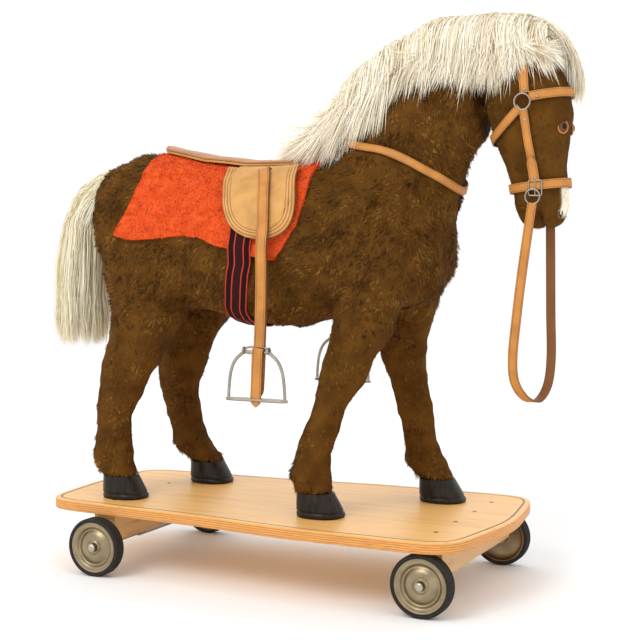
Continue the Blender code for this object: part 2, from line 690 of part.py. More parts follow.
def layer(name, offset, thickness, places, row_at, slot):
    """A sheet that follows the torso. The function row_at gives the points of its row at a place
    and an offset from the torso."""
    inner = [row_at(place, offset) for place in places]
    outer = [row_at(place, offset + thickness) for place in places]
    return sheet(name, inner, outer, slot)


def blanket():
    """The plush saddle cloth: it lies over the back and hangs down both flanks."""
    lower_edge = [(-0.252, 0.580), (-0.200, 0.573), (-0.120, 0.577), (-0.040, 0.558), (0.040, 0.543),
                  (0.058, 0.550), (0.074, 0.566), (0.090, 0.595), (0.104, 0.630)]

    def row_at(place, offset):
        x, low = place
        start = torso_turn(x, low, offset)
        return [torso_point(x, start + (math.pi - 2 * start) * k / 16, offset) for k in range(17)]

    layer("saddle_blanket", FUR_LAYER, BLANKET_THICKNESS, lower_edge, row_at, "orange_plush")


def girth():
    """Webbing that runs from under one flap round the belly to the other."""

    def row_at(x, offset):
        top = torso_turn(x, GIRTH_TOP_Z, offset)
        return [torso_point(x, -math.pi - top + (math.pi + 2 * top) * k / 24, offset) for k in range(25)]

    layer("girth", GIRTH_OFFSET, WEBBING_THICKNESS, GIRTH_X, row_at, "webbing")


def seat():
    """The curved leather seat. Its ends stand up, the rear one higher as a low cantle."""
    places = [(-0.222, 0.012, 0.010), (-0.210, 0.034, 0.007), (-0.200, 0.045, 0.004),
              (-0.120, 0.055, 0.0), (-0.040, 0.055, 0.0), (0.040, 0.055, 0.0),
              (0.072, 0.052, 0.004), (0.084, 0.040, 0.007)]

    def row_at(place, offset):
        x, half, rise = place
        _, middle, half_height, half_width = between(TORSO, x)
        points = []
        for k in range(9):
            y = half * (k / 4 - 1)
            part = 1 - (abs(y) / (half_width + offset)) ** TORSO_FULLNESS
            z = middle + (half_height + offset) * part ** (1 / TORSO_FULLNESS)
            points.append(Vector((x, y, z + rise)))
        return points

    layer("saddle_seat", BLANKET_TOP + 0.0010, SEAT_THICKNESS, places, row_at, "saddle_leather")


def flap(name, side):
    """A leather flap that hangs from the seat's edge over the girth's end, round at its foot."""

    def row_at(share, offset):
        half = FLAP_HALF * (1 - share ** 3.2) ** 0.5 if share < 1 else FLAP_FOOT_HALF
        points = []
        for m in range(7):
            x = 0.031 - 0.004 * share + half * (m / 3 - 1)
            low_turn = torso_turn(x, FLAP_FOOT_Z, offset)
            points.append(torso_point(x, FLAP_TOP_TURN + (low_turn - FLAP_TOP_TURN) * share, offset, side))
        return points

    shares = [k / 8 for k in range(9)]
    layer(name + "_saddle_flap", FLAP_OFFSET, FLAP_THICKNESS, shares, row_at, "saddle_leather")


def stirrup(name, side):
    """A doubled leather, the iron that hangs on it, and the leather's two free ends."""
    clear = FLAP_OFFSET + FLAP_THICKNESS + STIRRUP_CLEARANCE
    path = []
    for z in (0.690, 0.676, 0.655, 0.630, 0.600):
        turn = torso_turn(STIRRUP_X, z, clear)
        path.append(torso_point(STIRRUP_X, turn, clear + STIRRUP_STRAP_THICKNESS, side))
    _, _, _, half_width = between(TORSO, STIRRUP_X)
    hang_y = half_width + clear + STIRRUP_STRAP_THICKNESS
    for z in (0.560, 0.500, STIRRUP_BAR_Z + STIRRUP_LOOP_GAP):
        path.append(Vector((STIRRUP_X, side * hang_y, z)))
    facing = [Vector((0, side, 0.3))] * len(path)
    leather = strap(name + "_stirrup_leather", path, facing, STIRRUP_STRAP_WIDTH,
                    2 * STIRRUP_STRAP_THICKNESS - 2 * GAP, "saddle_leather")
    hang(leather, (STIRRUP_X, side * hang_y, STIRRUP_HINGE_Z))
    bar = (STIRRUP_X, side * hang_y, STIRRUP_BAR_Z)
    hang(stirrup_iron(name, side * hang_y), bar)
    hang(strap_ends(name, side, hang_y), bar)


def stirrup_iron(name, y):
    """A closed loop of steel bar: the top bar, two arched legs and the tread."""
    right = [
        (STIRRUP_BAR_HALF, STIRRUP_BAR_Z), (0.032, 0.386), (0.041, 0.371), (0.046, 0.351),
        (STIRRUP_LEG_HALF, 0.330), (STIRRUP_TREAD_HALF, STIRRUP_TREAD_Z + 0.004),
        (STIRRUP_TREAD_HALF - 0.003, STIRRUP_TREAD_Z),
    ]
    loop = right + [(-x, z) for x, z in reversed(right)]
    path = [Vector((STIRRUP_X + x, y, z)) for x, z in loop]
    return tube(name + "_stirrup_iron", path, STIRRUP_WIRE_RADIUS, 8, "steel", closed=True)


def strap_ends(name, side, hang_y):
    """The leather's two ends below the top bar, one on each side of the iron, joined over it."""
    near = STIRRUP_WIRE_RADIUS + 2 * GAP
    far = near + STIRRUP_STRAP_THICKNESS
    top = STIRRUP_BAR_Z - near
    bridge = top - STIRRUP_STRAP_THICKNESS
    section = [(-far, top), (-far, STRAP_END_Z + STRAP_END_STEP), (-near, STRAP_END_Z + STRAP_END_STEP),
               (-near, bridge), (near, bridge), (near, STRAP_END_Z), (far, STRAP_END_Z), (far, top)]
    half_width = STIRRUP_STRAP_WIDTH / 2
    rings = [[(x, side * (hang_y + across), z) for across, z in section]
             for x in (STIRRUP_X - half_width, STIRRUP_X + half_width)]
    return from_rings(name + "_strap_ends", rings, "saddle_leather")


def breast_strap():
    """The strap round the root of the neck and across the chest, open under the mane."""
    centre, axis, across = neck_section(NECK[NECK_SEAM], BREAST_STRAP_OFFSET)
    centre += across.cross(axis).normalized() * BREAST_STRAP_SHIFT
    path, facing = [], []
    for k in range(21):
        turn = math.radians(-232 + 284 * k / 20)
        out = across * math.cos(turn) + axis * math.sin(turn)
        path.append(centre + out)
        facing.append(out)
    strap("breast_strap", path, facing, BREAST_STRAP_WIDTH, BRIDLE_THICKNESS, "saddle_leather")


# ---------------------------------------------------------------- bridle


def headstall():
    """The strap up one cheek, over the poll and down the other cheek."""
    path, facing = [], []
    for z in (0.6765, 0.690, 0.730, 0.775, 0.820, 0.858):
        x = HEADSTALL_X - 0.10 * (z - 0.660)
        _, back, front, _ = between(HEAD, z)
        along = (2 * x - front - back) / (front - back + 2 * BRIDLE_OFFSET)
        turn = math.acos(along ** (HEAD_FULLNESS / 2))
        path.append(head_point(z, turn, BRIDLE_OFFSET))
        facing.append(head_facing(z, turn))
    path += [Vector((0.441, 0.030, 0.8865)), Vector((0.440, 0.0, 0.8895))]
    facing += [Vector((0, 0.5, 1)), Vector((0, 0, 1))]
    path += mirrored(path[:-1])
    facing += mirrored(facing[:-1])
    strap("headstall", path, facing, BRIDLE_WIDTH, BRIDLE_THICKNESS, "saddle_leather")


def mirrored(points):
    """The points on the other side, in the order of travel back to the start."""
    return [Vector((p.x, -p.y, p.z)) for p in reversed(points)]


def band(name, level, tilt, turns, lift):
    """A strap round the head at a level that rises towards the face by the tilt. The lift is how
    far it stands off the other straps' level."""
    path, facing = [], []
    for turn in turns:
        z = level + tilt * math.cos(turn)
        path.append(head_point(z, turn, BRIDLE_OFFSET + lift))
        facing.append(head_facing(z, turn))
    return strap(name, path, facing, BRIDLE_WIDTH, BRIDLE_THICKNESS, "saddle_leather",
                 closed=abs(turns[-1] - turns[0]) > math.radians(330))


def browband():
    turns = [math.radians(-72 + 144 * k / 12) for k in range(13)]
    band("browband", 0.784, 0.012, turns, 0.0010)


def noseband():
    turns = [math.radians(360 * k / 24) for k in range(24)]
    band("noseband", 0.6655, 0.006, turns, 0.0020)


def throat_lash():
    """The thin strap from cheek to cheek under the throat."""
    side_points = [Vector((0.4290, 0.0600, 0.7790)), Vector((0.4110, 0.0590, 0.7530)),
                   Vector((0.3930, 0.0470, 0.7290)), Vector((0.3830, 0.0260, 0.7170)),
                   Vector((0.3790, 0.0, 0.7135))]
    half = smooth_path(side_points, 2)
    path = half + mirrored(half[:-1])
    facing = [Vector((-0.02, p.y * 1.6, -0.03)) for p in path]
    strap("throat_lash", path, facing, THROAT_LASH_WIDTH, BRIDLE_THICKNESS, "saddle_leather")


def reins():
    """One long strap that hangs in a loop from the two bit rings."""
    x, _, _ = BIT_PLACE
    y = BIT_RING_Y
    points = [(x, -y, REIN_TOP_Z), (x - 0.006, -y - 0.001, 0.560), (x - 0.014, -y - 0.002, 0.470),
              (x - 0.022, -y - 0.002, 0.390), (x - 0.021, -y + 0.006, 0.348), (x - 0.012, -0.018, 0.322),
              (x - 0.003, 0.010, 0.322), (x + 0.004, y - 0.008, 0.348), (x + 0.004, y, 0.390),
              (x + 0.002, y + 0.001, 0.470), (x + 0.001, y + 0.001, 0.560), (x, y, REIN_TOP_Z)]
    path = smooth_path(points, 3)
    facing = []
    for point, heading in zip(path, headings(path)):
        facing.append(heading.cross(Vector((1, 0, 0))))
    hang(strap("reins", path, facing, REIN_WIDTH, REIN_THICKNESS, "saddle_leather"), BIT_PLACE)


# ---------------------------------------------------------------- assembly


def build():
    clear_scene()
    toy = bpy.data.objects.new("toy", None)
    bpy.context.scene.collection.objects.link(toy)
    toy.location.x = FRAME_SHIFT_X
    deck()
    for prefix, x in (("rear", REAR_AXLE_X), ("front", FRONT_AXLE_X)):
        axle_set(prefix, x)
        for side, name in ((-1, "right"), (1, "left")):
            wheel(prefix + "_" + name, x, side)
    torso()
    for name in LEGS:
        leg(name)
    neck_and_head()
    mane()
    tail()
    blanket()
    girth()
    seat()
    for side, name in ((-1, "right"), (1, "left")):
        flap(name, side)
        stirrup(name, side)
    breast_strap()
    headstall()
    browband()
    noseband()
    throat_lash()
    reins()


build()
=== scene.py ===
"""The looks of a plush ride-on horse on a wheeled board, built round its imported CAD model.

The horse faces +X and its left side is +Y, as in the CAD. The plush body is one skin remeshed from
the CAD panels, with a pile of short hair strands on it. The mane and the tail are long strands
over a solid core. Straps follow the skin by casting rays at it.
"""

import math

import bmesh
import bpy
import numpy as np
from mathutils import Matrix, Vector
from mathutils.bvhtree import BVHTree
from mathutils.kdtree import KDTree


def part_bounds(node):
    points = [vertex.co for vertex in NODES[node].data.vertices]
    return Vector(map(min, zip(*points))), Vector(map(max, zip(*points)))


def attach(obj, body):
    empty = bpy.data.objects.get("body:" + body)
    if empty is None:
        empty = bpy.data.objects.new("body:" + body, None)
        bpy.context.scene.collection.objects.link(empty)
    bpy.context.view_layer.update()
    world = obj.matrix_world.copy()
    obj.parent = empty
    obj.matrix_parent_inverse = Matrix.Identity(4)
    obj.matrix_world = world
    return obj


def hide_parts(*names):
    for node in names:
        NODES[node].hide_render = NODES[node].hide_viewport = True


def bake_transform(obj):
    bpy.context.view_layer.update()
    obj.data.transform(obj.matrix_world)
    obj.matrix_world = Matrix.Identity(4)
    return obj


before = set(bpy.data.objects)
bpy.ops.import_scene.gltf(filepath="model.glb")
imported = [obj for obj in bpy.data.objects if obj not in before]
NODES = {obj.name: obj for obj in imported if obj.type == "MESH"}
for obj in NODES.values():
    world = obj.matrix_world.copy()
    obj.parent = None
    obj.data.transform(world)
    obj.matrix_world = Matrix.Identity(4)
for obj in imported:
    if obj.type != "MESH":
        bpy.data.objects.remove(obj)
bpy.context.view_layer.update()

SEED = 11
SIDES = ((-1, "right"), (1, "left"))

# The camera's place, angles in degrees and lens in millimetres
CAMERA_AZIMUTH = 25.82
CAMERA_ELEVATION = 3.79
CAMERA_PLACE = (1.0737, -2.1409, 0.5925)
CAMERA_LENS = 78.7

# Plush body
VOXEL = 0.0046
SMOOTHING = 14
PILE_COUNT = 275000
PILE_TUFTS = 27000
PILE_LENGTH = 0.0098
PILE_WIDTH = 0.00115
STRAND_FACES = 180000  # the most triangles in one piece of hair

# Straps
BRIDLE_WIDTH = 0.0150
LEATHER = 0.0026

# Colours, linear
FUR_SHADES = ((0.034, 0.0132, 0.0023), (0.074, 0.0295, 0.0050), (0.124, 0.0515, 0.0085),
              (0.190, 0.0830, 0.0145), (0.300, 0.1450, 0.0320))
CREAM_SHADES = ((0.50, 0.38, 0.20), (0.79, 0.68, 0.47), (0.93, 0.84, 0.66), (0.98, 0.93, 0.81))
TAIL_SHADES = ((0.52, 0.40, 0.20), (0.80, 0.70, 0.45), (0.90, 0.82, 0.60), (0.95, 0.90, 0.74))
BLANKET_SHADES = ((0.50, 0.040, 0.0075), (0.66, 0.070, 0.0130), (0.78, 0.110, 0.0230))
STRAP_COLOUR = (0.54, 0.218, 0.042)
STRAP_DARK = (0.120, 0.036, 0.008)
FLAP_COLOUR = (0.60, 0.300, 0.080)
SEAT_COLOUR = (0.46, 0.190, 0.046)
DECK_COLOUR = (0.88, 0.490, 0.150)
DECK_EDGE = (0.72, 0.315, 0.072)
GLUE_LINE = 0.028  # half of a glue line in the deck's edge, as a share of its thickness


# ---------------------------------------------------------------- materials


def surface(name, colour, roughness, metallic=0.0):
    """A Principled material. Returns it with its node tree and its shader."""
    made = bpy.data.materials.new(name)
    made.use_nodes = True
    shader = made.node_tree.nodes["Principled BSDF"]
    shader.inputs["Base Color"].default_value = (*colour, 1.0)
    shader.inputs["Roughness"].default_value = roughness
    shader.inputs["Metallic"].default_value = metallic
    return made, made.node_tree, shader


def node(tree, kind, inputs=(), **settings):
    """A shader node with its settings, and its inputs linked to sockets or set to values."""
    made = tree.nodes.new("ShaderNode" + kind)
    for key, value in settings.items():
        setattr(made, key, value)
    for key, value in dict(inputs).items():
        if isinstance(value, bpy.types.NodeSocket):
            tree.links.new(value, made.inputs[key])
        else:
            made.inputs[key].default_value = value
    return made


def place(tree, scale=(1, 1, 1)):
    """Object coordinates in metres, stretched by a scale."""
    where = node(tree, "TexCoord").outputs["Object"]
    return node(tree, "Mapping", {"Vector": where, "Scale": scale}).outputs["Vector"]


def speckle(tree, scale, stretch=(1, 1, 1), detail=5.0):
    """A noise between 0 and 1."""
    return node(tree, "TexNoise", {"Vector": place(tree, stretch), "Scale": scale,
                                   "Detail": detail}).outputs["Fac"]


def ramp(tree, source, stops):
    """Turns a number into a colour by (position, colour) stops, in rising order."""
    made = node(tree, "ValToRGB", {"Fac": source})
    marks = made.color_ramp.elements
    marks.remove(marks[1])
    marks[0].position, marks[0].color = stops[0][0], (*stops[0][1], 1.0)
    for position, colour in stops[1:]:
        marks.new(position).color = (*colour, 1.0)
    return made.outputs["Color"]


def blend_colours(tree, amount, first, second, how="MIX"):
    """A mix of two colours, each a socket or a fixed colour."""
    made = node(tree, "Mix", data_type="RGBA", blend_type=how)
    for key, value in ((0, amount), (6, first), (7, second)):
        if isinstance(value, bpy.types.NodeSocket):
            tree.links.new(value, made.inputs[key])
        else:
            made.inputs[key].default_value = (*value, 1.0) if isinstance(value, tuple) else value
    return made.outputs[2]


def paint(tree, shader, source, stops, socket="Base Color"):
    """Lets a number set the shader's colour, or another of its sockets, by stops."""
    tree.links.new(ramp(tree, source, stops), shader.inputs[socket])


def relief(tree, shader, height, distance, strength=1.0):
    """Raise the surface by a height field."""
    made = node(tree, "Bump", {"Height": height, "Distance": distance, "Strength": strength})
    tree.links.new(made.outputs["Normal"], shader.inputs["Normal"])


def shade_of(colour, factor):
    """A colour made lighter or darker by a factor."""
    return tuple(min(1.0, part * factor) for part in colour)


def leather(name, colour):
    """Vegetable-tanned leather: a cloudy tan, fine grain, and dark creases near its edges."""
    made, tree, shader = surface(name, colour, 0.50)
    shader.inputs["Specular IOR Level"].default_value = 0.35
    cloud = ramp(tree, speckle(tree, 38.0), [(0.30, shade_of(colour, 0.80)), (0.55, colour),
                                             (0.75, shade_of(colour, 1.12))])
    crease = node(tree, "Attribute", attribute_name="crease").outputs["Fac"]
    tree.links.new(blend_colours(tree, crease, cloud, STRAP_DARK), shader.inputs["Base Color"])
    grain = speckle(tree, 900.0, detail=3.0)
    paint(tree, shader, grain, [(0.3, (0.42,) * 3), (0.7, (0.60,) * 3)], "Roughness")
    relief(tree, shader, grain, 0.0004, 0.6)
    return made


def brushed_metal(name, colour, roughness):
    """Metal with fine scratches and cloudy tarnish."""
    made, tree, shader = surface(name, colour, roughness, 1.0)
    paint(tree, shader, speckle(tree, 55.0), [(0.30, shade_of(colour, 0.70)), (0.65, colour)])
    scratch = speckle(tree, 600.0, (1, 1, 8), 2.0)
    paint(tree, shader, scratch, [(0.3, (roughness * 0.8,) * 3), (0.7, (roughness * 1.3,) * 3)], "Roughness")
    relief(tree, shader, scratch, 0.0002, 0.4)
    return made


def timber(name, light, dark, grain_axis=(1.2, 16.0, 16.0)):
    """Lacquered wood. Its grain runs along X unless the stretch says otherwise."""
    made, tree, shader = surface(name, light, 0.42)
    broad = speckle(tree, 5.5, grain_axis, 6.0)
    fine = speckle(tree, 46.0, grain_axis, 3.0)
    base = ramp(tree, broad, [(0.30, dark), (0.46, light), (0.56, shade_of(light, 1.06)), (0.70, light)])
    pores = ramp(tree, fine, [(0.34, shade_of(dark, 0.82)), (0.47, (1.0, 1.0, 1.0))])
    tree.links.new(blend_colours(tree, 0.16, base, pores, "MULTIPLY"), shader.inputs["Base Color"])
    shader.inputs["Coat Weight"].default_value = 0.10
    shader.inputs["Coat Roughness"].default_value = 0.30
    relief(tree, shader, fine, 0.0002, 0.35)
    return made


def ply_edge(name, low, high):
    """The deck's edge: light and dark veneers, parted by thin glue lines."""
    made, tree, shader = surface(name, DECK_EDGE, 0.45)
    height = node(tree, "SeparateXYZ", {"Vector": place(tree)}).outputs["Z"]
    share = node(tree, "MapRange", {"Value": height, "From Min": low, "From Max": high})
    stops = [(0.0, DECK_EDGE)]
    for level in (0.20, 0.40, 0.60, 0.80):
        stops += [(level - GLUE_LINE, DECK_EDGE), (level, shade_of(DECK_EDGE, 0.30)),
                  (level + GLUE_LINE, shade_of(DECK_EDGE, 1.15))]
    layers = ramp(tree, share.outputs["Result"], stops)
    streaks = speckle(tree, 60.0, (1, 1, 9), 4.0)
    tone = ramp(tree, streaks, [(0.3, (0.72, 0.66, 0.60)), (0.65, (1.0, 1.0, 1.0))])
    tree.links.new(blend_colours(tree, 0.7, layers, tone, "MULTIPLY"), shader.inputs["Base Color"])
    relief(tree, shader, streaks, 0.0003, 0.5)
    return made


def rubber(name, colour):
    """Dusty black rubber."""
    made, tree, shader = surface(name, colour, 0.7)
    shader.inputs["Specular IOR Level"].default_value = 0.25
    paint(tree, shader, speckle(tree, 120.0), [(0.35, colour), (0.75, shade_of(colour, 2.0))])
    relief(tree, shader, speckle(tree, 900.0, detail=2.0), 0.0003, 0.5)
    return made


def horn(name):
    """The hoof's black leather: dark, with a soft shine and fine wrinkles down its height."""
    made, tree, shader = surface(name, (0.010, 0.008, 0.006), 0.38)
    shader.inputs["Specular IOR Level"].default_value = 0.22
    wrinkles = speckle(tree, 160.0, (1, 1, 0.25), 5.0)
    paint(tree, shader, wrinkles, [(0.35, (0.008, 0.005, 0.003)), (0.70, (0.026, 0.017, 0.010))])
    paint(tree, shader, wrinkles, [(0.3, (0.26,) * 3), (0.7, (0.44,) * 3)], "Roughness")
    relief(tree, shader, wrinkles, 0.0005, 0.5)
    return made


def gloss_black(name):
    """Shiny black, as in a pupil, and as painted shade in a dark hollow."""
    made, tree, shader = surface(name, (0.006, 0.005, 0.005), 0.14)
    shader.inputs["Specular IOR Level"].default_value = 0.15
    shader.inputs["Coat Weight"].default_value = 0.05
    paint(tree, shader, speckle(tree, 300.0), [(0.3, (0.004, 0.003, 0.003)), (0.8, (0.012, 0.009, 0.008))])
    return made


def amber_glass(name):
    """The brown iris of a glass eye."""
    made, tree, shader = surface(name, (0.17, 0.050, 0.012), 0.15)
    shader.inputs["Specular IOR Level"].default_value = 0.12
    shader.inputs["Coat Weight"].default_value = 0.08
    shader.inputs["Coat Roughness"].default_value = 0.05
    streaks = speckle(tree, 420.0, detail=4.0)
    paint(tree, shader, streaks, [(0.3, (0.080, 0.022, 0.006)), (0.6, (0.22, 0.070, 0.016))])
    return made


def backing(name, shades, scale):
    """The cloth that hair stands on: mottled in the hair's own middle shades, and pale where the
    mesh's "pale" is 1."""
    made, tree, shader = surface(name, shades[1], 0.95)
    shader.inputs["Specular IOR Level"].default_value = 0.05
    cloth = ramp(tree, speckle(tree, scale), [(0.35, shades[1]), (0.65, shades[2])])
    pale = node(tree, "Attribute", attribute_name="pale").outputs["Fac"]
    tree.links.new(blend_colours(tree, pale, cloth, CREAM_SHADES[2]), shader.inputs["Base Color"])
    relief(tree, shader, speckle(tree, 420.0, detail=2.0), 0.0015, 0.8)
    return made


def hair_cloth(name, shades):
    """Pale hair seen as one mass, with fine streaks down it."""
    made, tree, shader = surface(name, shades[1], 0.8)
    streaks = speckle(tree, 70.0, (2.2, 2.2, 0.35), 8.0)
    paint(tree, shader, streaks, [(0.32, shade_of(shades[0], 0.75)), (0.48, shades[1]), (0.68, shades[2])])
    relief(tree, shader, streaks, 0.002, 0.8)
    return made


def hair_shades(name, shades, roughness, shine=0.25):
    """One plain material for each shade of strand."""
    made = []
    for k, shade in enumerate(shades):
        strand, _, shader = surface(f"{name}_{k}", shade, roughness)
        shader.inputs["Specular IOR Level"].default_value = shine
        made.append(strand)
    return made


def webbing(name):
    """Dark woven webbing with thin red lines along it, placed by the mesh's "across" from 0 to 1."""
    made, tree, shader = surface(name, (0.030, 0.008, 0.010), 0.85)
    shader.inputs["Specular IOR Level"].default_value = 0.10
    across = node(tree, "Attribute", attribute_name="across").outputs["Fac"]
    dark, middle, red = (0.020, 0.0060, 0.0050), (0.034, 0.0085, 0.0075), (0.60, 0.050, 0.036)
    stops = [(0.0, red), (0.030, red), (0.055, dark), (0.265, dark), (0.285, red), (0.315, red),
             (0.335, middle), (0.665, middle), (0.685, red), (0.715, red), (0.735, dark), (0.945, dark),
             (0.970, red), (1.0, red)]
    paint(tree, shader, across, stops)
    weave = node(tree, "TexWave", {"Vector": place(tree), "Scale": 160.0, "Distortion": 0.6},
                 bands_direction="Z")
    relief(tree, shader, weave.outputs["Fac"], 0.0006, 0.8)
    return made


# ---------------------------------------------------------------- geometry


def new_object(name, data):
    """An object for some data, in the scene."""
    made = bpy.data.objects.new(name, data)
    bpy.context.scene.collection.objects.link(made)
    return made


def add_mesh(name, mesh, materials, body, replaced=(), smooth=True):
    """A piece made of a mesh, that rides on a body if one is named and replaces CAD nodes."""
    made = new_object(name, mesh)
    for item in materials:
        mesh.materials.append(item)
    if smooth:
        mesh.shade_smooth()
        mesh.set_sharp_from_angle(angle=math.radians(42))
    if body:
        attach(made, body)
    if replaced:
        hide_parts(*replaced)
    return made


def mesh_from(name, points, faces):
    """A mesh with its faces turned outwards."""
    mesh = bpy.data.meshes.new(name)
    mesh.from_pydata([tuple(p) for p in points], [], faces)
    work = bmesh.new()
    work.from_mesh(mesh)
    bmesh.ops.recalc_face_normals(work, faces=work.faces)
    work.to_mesh(mesh)
    work.free()
    return mesh


def mark_points(mesh, name, values):
    """Gives each point of a mesh a number that its material reads."""
    mark = mesh.attributes.new(name, "FLOAT", "POINT")
    mark.data.foreach_set("value", values)


def read_points(mesh, what="co"):
    """The places of a mesh's points, or their normals, as rows."""
    values = np.empty(len(mesh.vertices) * 3)
    mesh.vertices.foreach_get(what, values)
    return values.reshape(-1, 3)


def circle(centre, first, second, radius, count):
    """Points round a circle in the plane of two directions that are square to each other."""
    turns = (2 * math.pi * k / count for k in range(count))
    return [centre + (first * math.cos(turn) + second * math.sin(turn)) * radius for turn in turns]


def steps_between(start, end, count):
    """Even steps from start to end, both included."""
    return [start + (end - start) * k / (count - 1) for k in range(count)]


def ring_faces(rings, count, closed):
    """The faces of a skin over rings of points that follow each other, with flat ends if it is open."""
    faces = []
    for i in range(rings if closed else rings - 1):
        a, b = i * count, ((i + 1) % rings) * count
        for k in range(count):
            n = (k + 1) % count
            faces.append((a + k, a + n, b + n, b + k))
    if not closed:
        faces.append(tuple(range(count)))
        faces.append(tuple(range((rings - 1) * count, rings * count)))
    return faces


def curve_through(points, steps, closed=False):
    """A Catmull-Rom curve through the points."""
    points = [Vector(p) for p in points]
    if closed:
        padded = [points[-1]] + points + points[:2]
    else:
        padded = [2 * points[0] - points[1]] + points + [2 * points[-1] - points[-2]]
    path = []
    for i in range(len(padded) - 3):
        p0, p1, p2, p3 = padded[i:i + 4]
        for k in range(steps):
            t = k / steps
            path.append(0.5 * (2 * p1 + (p2 - p0) * t + (2 * p0 - 5 * p1 + 4 * p2 - p3) * t ** 2
                               + (3 * p1 - p0 - 3 * p2 + p3) * t ** 3))
    if not closed:
        path.append(points[-1])
    return path


def relax(path, rounds, closed=False):
    """Evens out a path. Its ends stay where they are unless it is closed."""
    for _ in range(rounds):
        count = len(path)
        eased = []
        for i, point in enumerate(path):
            if not closed and i in (0, count - 1):
                eased.append(point)
            else:
                eased.append(path[i - 1] * 0.25 + point * 0.5 + path[(i + 1) % count] * 0.25)
        path = eased
    return path


def headings(path, closed=False):
    """The way along a path at each of its points."""
    found = []
    count = len(path)
    for i in range(count):
        before = path[i - 1] if (i or closed) else path[i]
        after = path[(i + 1) % count] if (i < count - 1 or closed) else path[i]
        found.append((after - before).normalized())
    return found


def tube(name, path, radius, material, body, replaced=(), closed=False, sides=12):
    """A round bar along a path."""
    side = Vector((0.0, 1.0, 0.0))
    points = []
    for point, heading in zip(path, headings(path, closed)):
        if abs(heading.dot(side)) > 0.95:
            side = Vector((1.0, 0.0, 0.0))
        side = (side - heading * side.dot(heading)).normalized()
        points += circle(point, side, heading.cross(side), radius, sides)
    mesh = mesh_from(name, points, ring_faces(len(path), sides, closed))
    return add_mesh(name, mesh, [material], body, replaced)


# The section of a strap: (across, up, darkness), going round from its lower left corner
STRAP_SECTION = [
    (-0.46, 0.0, 0.8), (-0.50, 0.18, 0.9), (-0.50, 0.80, 0.9), (-0.465, 1.0, 0.5), (-0.42, 1.0, 0.0),
    (-0.375, 1.0, 0.0), (-0.35, 0.80, 1.0), (-0.325, 1.0, 0.0), (-0.12, 1.05, 0.0), (0.12, 1.05, 0.0),
    (0.325, 1.0, 0.0), (0.35, 0.80, 1.0), (0.375, 1.0, 0.0), (0.42, 1.0, 0.0), (0.465, 1.0, 0.5),
    (0.50, 0.80, 0.9), (0.50, 0.18, 0.9), (0.46, 0.0, 0.8),
]


def strap(name, path, facing, width, material, body, replaced=(), closed=False, tips=(0.0, 0.0),
          thickness=LEATHER):
    """A leather strap with eased edges and a crease along each. The tips are the lengths over which
    its two ends narrow to a round point."""
    reach = [0.0]
    for a, b in zip(path, path[1:]):
        reach.append(reach[-1] + (b - a).length)
    points, creases = [], []
    for point, heading, out, gone in zip(path, headings(path, closed), facing, reach):
        out = (out - heading * out.dot(heading)).normalized()
        side = heading.cross(out)
        narrow = 1.0
        for tip, left in zip(tips, (gone, reach[-1] - gone)):
            if tip and left < tip:
                narrow = max(0.12, math.sqrt(max(0.0, 1 - (1 - left / tip) ** 2)))
        for across, up, crease in STRAP_SECTION:
            points.append(point + side * (across * width * narrow) + out * ((up - 0.5) * thickness))
            creases.append(float(crease))
    mesh = mesh_from(name, points, ring_faces(len(path), len(STRAP_SECTION), closed))
    mark_points(mesh, "crease", creases)
    return add_mesh(name, mesh, [material], body, replaced)


# A stud's section: (share of its radius, share of its rise)
DOME_SECTION = ((1.0, -0.6), (1.0, 0.25), (0.85, 0.65), (0.5, 0.95), (0.15, 1.0))


def dome(name, centre, out, radius, rise, material, body, sides=14):
    """A low round stud, such as a rivet's head."""
    out = out.normalized()
    side = out.orthogonal().normalized()
    points = []
    for share, height in DOME_SECTION:
        points += circle(centre + out * (rise * height), side, out.cross(side), radius * share, sides)
    mesh = mesh_from(name, points, ring_faces(len(DOME_SECTION), sides, False))
    return add_mesh(name, mesh, [material], body)


def turned(name, profile, centre, side, material, body, replaced, segments=96):
    """A ring turned about Y. The profile's points are (radius, distance out from the toy's middle)."""
    points = []
    for k in range(segments):
        turn = 2 * math.pi * k / segments
        for radius, y in profile:
            points.append(Vector((centre[0] + radius * math.cos(turn), side * y,
                                  centre[2] + radius * math.sin(turn))))
    mesh = mesh_from(name, points, ring_faces(segments, len(profile), True))
    return add_mesh(name, mesh, [material], body, replaced)


def tree_of(*objects):
    """A search tree over the faces of several objects."""
    points, faces = [], []
    for item in objects:
        start = len(points)
        points += [v.co for v in item.data.vertices]
        faces += [tuple(start + i for i in p.vertices) for p in item.data.polygons]
    return BVHTree.FromPolygons(points, faces)


def wrap(tree, centre, first, second, degrees, offset, rounds=3):
    """A path round a solid from a centre inside it, in the plane of two directions, at each of so
    many turns."""
    closed = abs(degrees[-1] - degrees[0]) > 330
    path, facing = [], []
    for degree in degrees:
        turn = math.radians(degree)
        out = (Vector(first) * math.cos(turn) + Vector(second) * math.sin(turn)).normalized()
        hit, normal, _, _ = tree.ray_cast(Vector(centre), out)
        path.append(hit + out * offset)
        facing.append((out + normal).normalized())
    return relax(path, rounds, closed), relax(facing, rounds + 2, closed)


# ---------------------------------------------------------------- hair


def unit(vectors):
    """Rows of vectors, each made one long."""
    return vectors / np.maximum(np.linalg.norm(vectors, axis=-1, keepdims=True), 1e-9)


def ribbons(name, paths, facing, widths, shades, materials, body):
    """Hair as thin flat strands that narrow to a point, in pieces of a limited size. The paths are
    points of each strand from root to tip, the facing is each strand's way out, and the shades
    pick each strand's material."""
    points = ribbon_points(paths, facing, widths)
    pattern = ribbon_pattern(paths.shape[1])
    share = STRAND_FACES // len(pattern)
    made = []
    for part, start in enumerate(range(0, len(paths), share)):
        chosen = slice(start, start + share)
        mesh = ribbon_mesh(f"{name}_{part}", points[chosen], pattern, shades[chosen])
        made.append(add_mesh(f"{name}_{part}", mesh, materials, body, smooth=False))
    return made


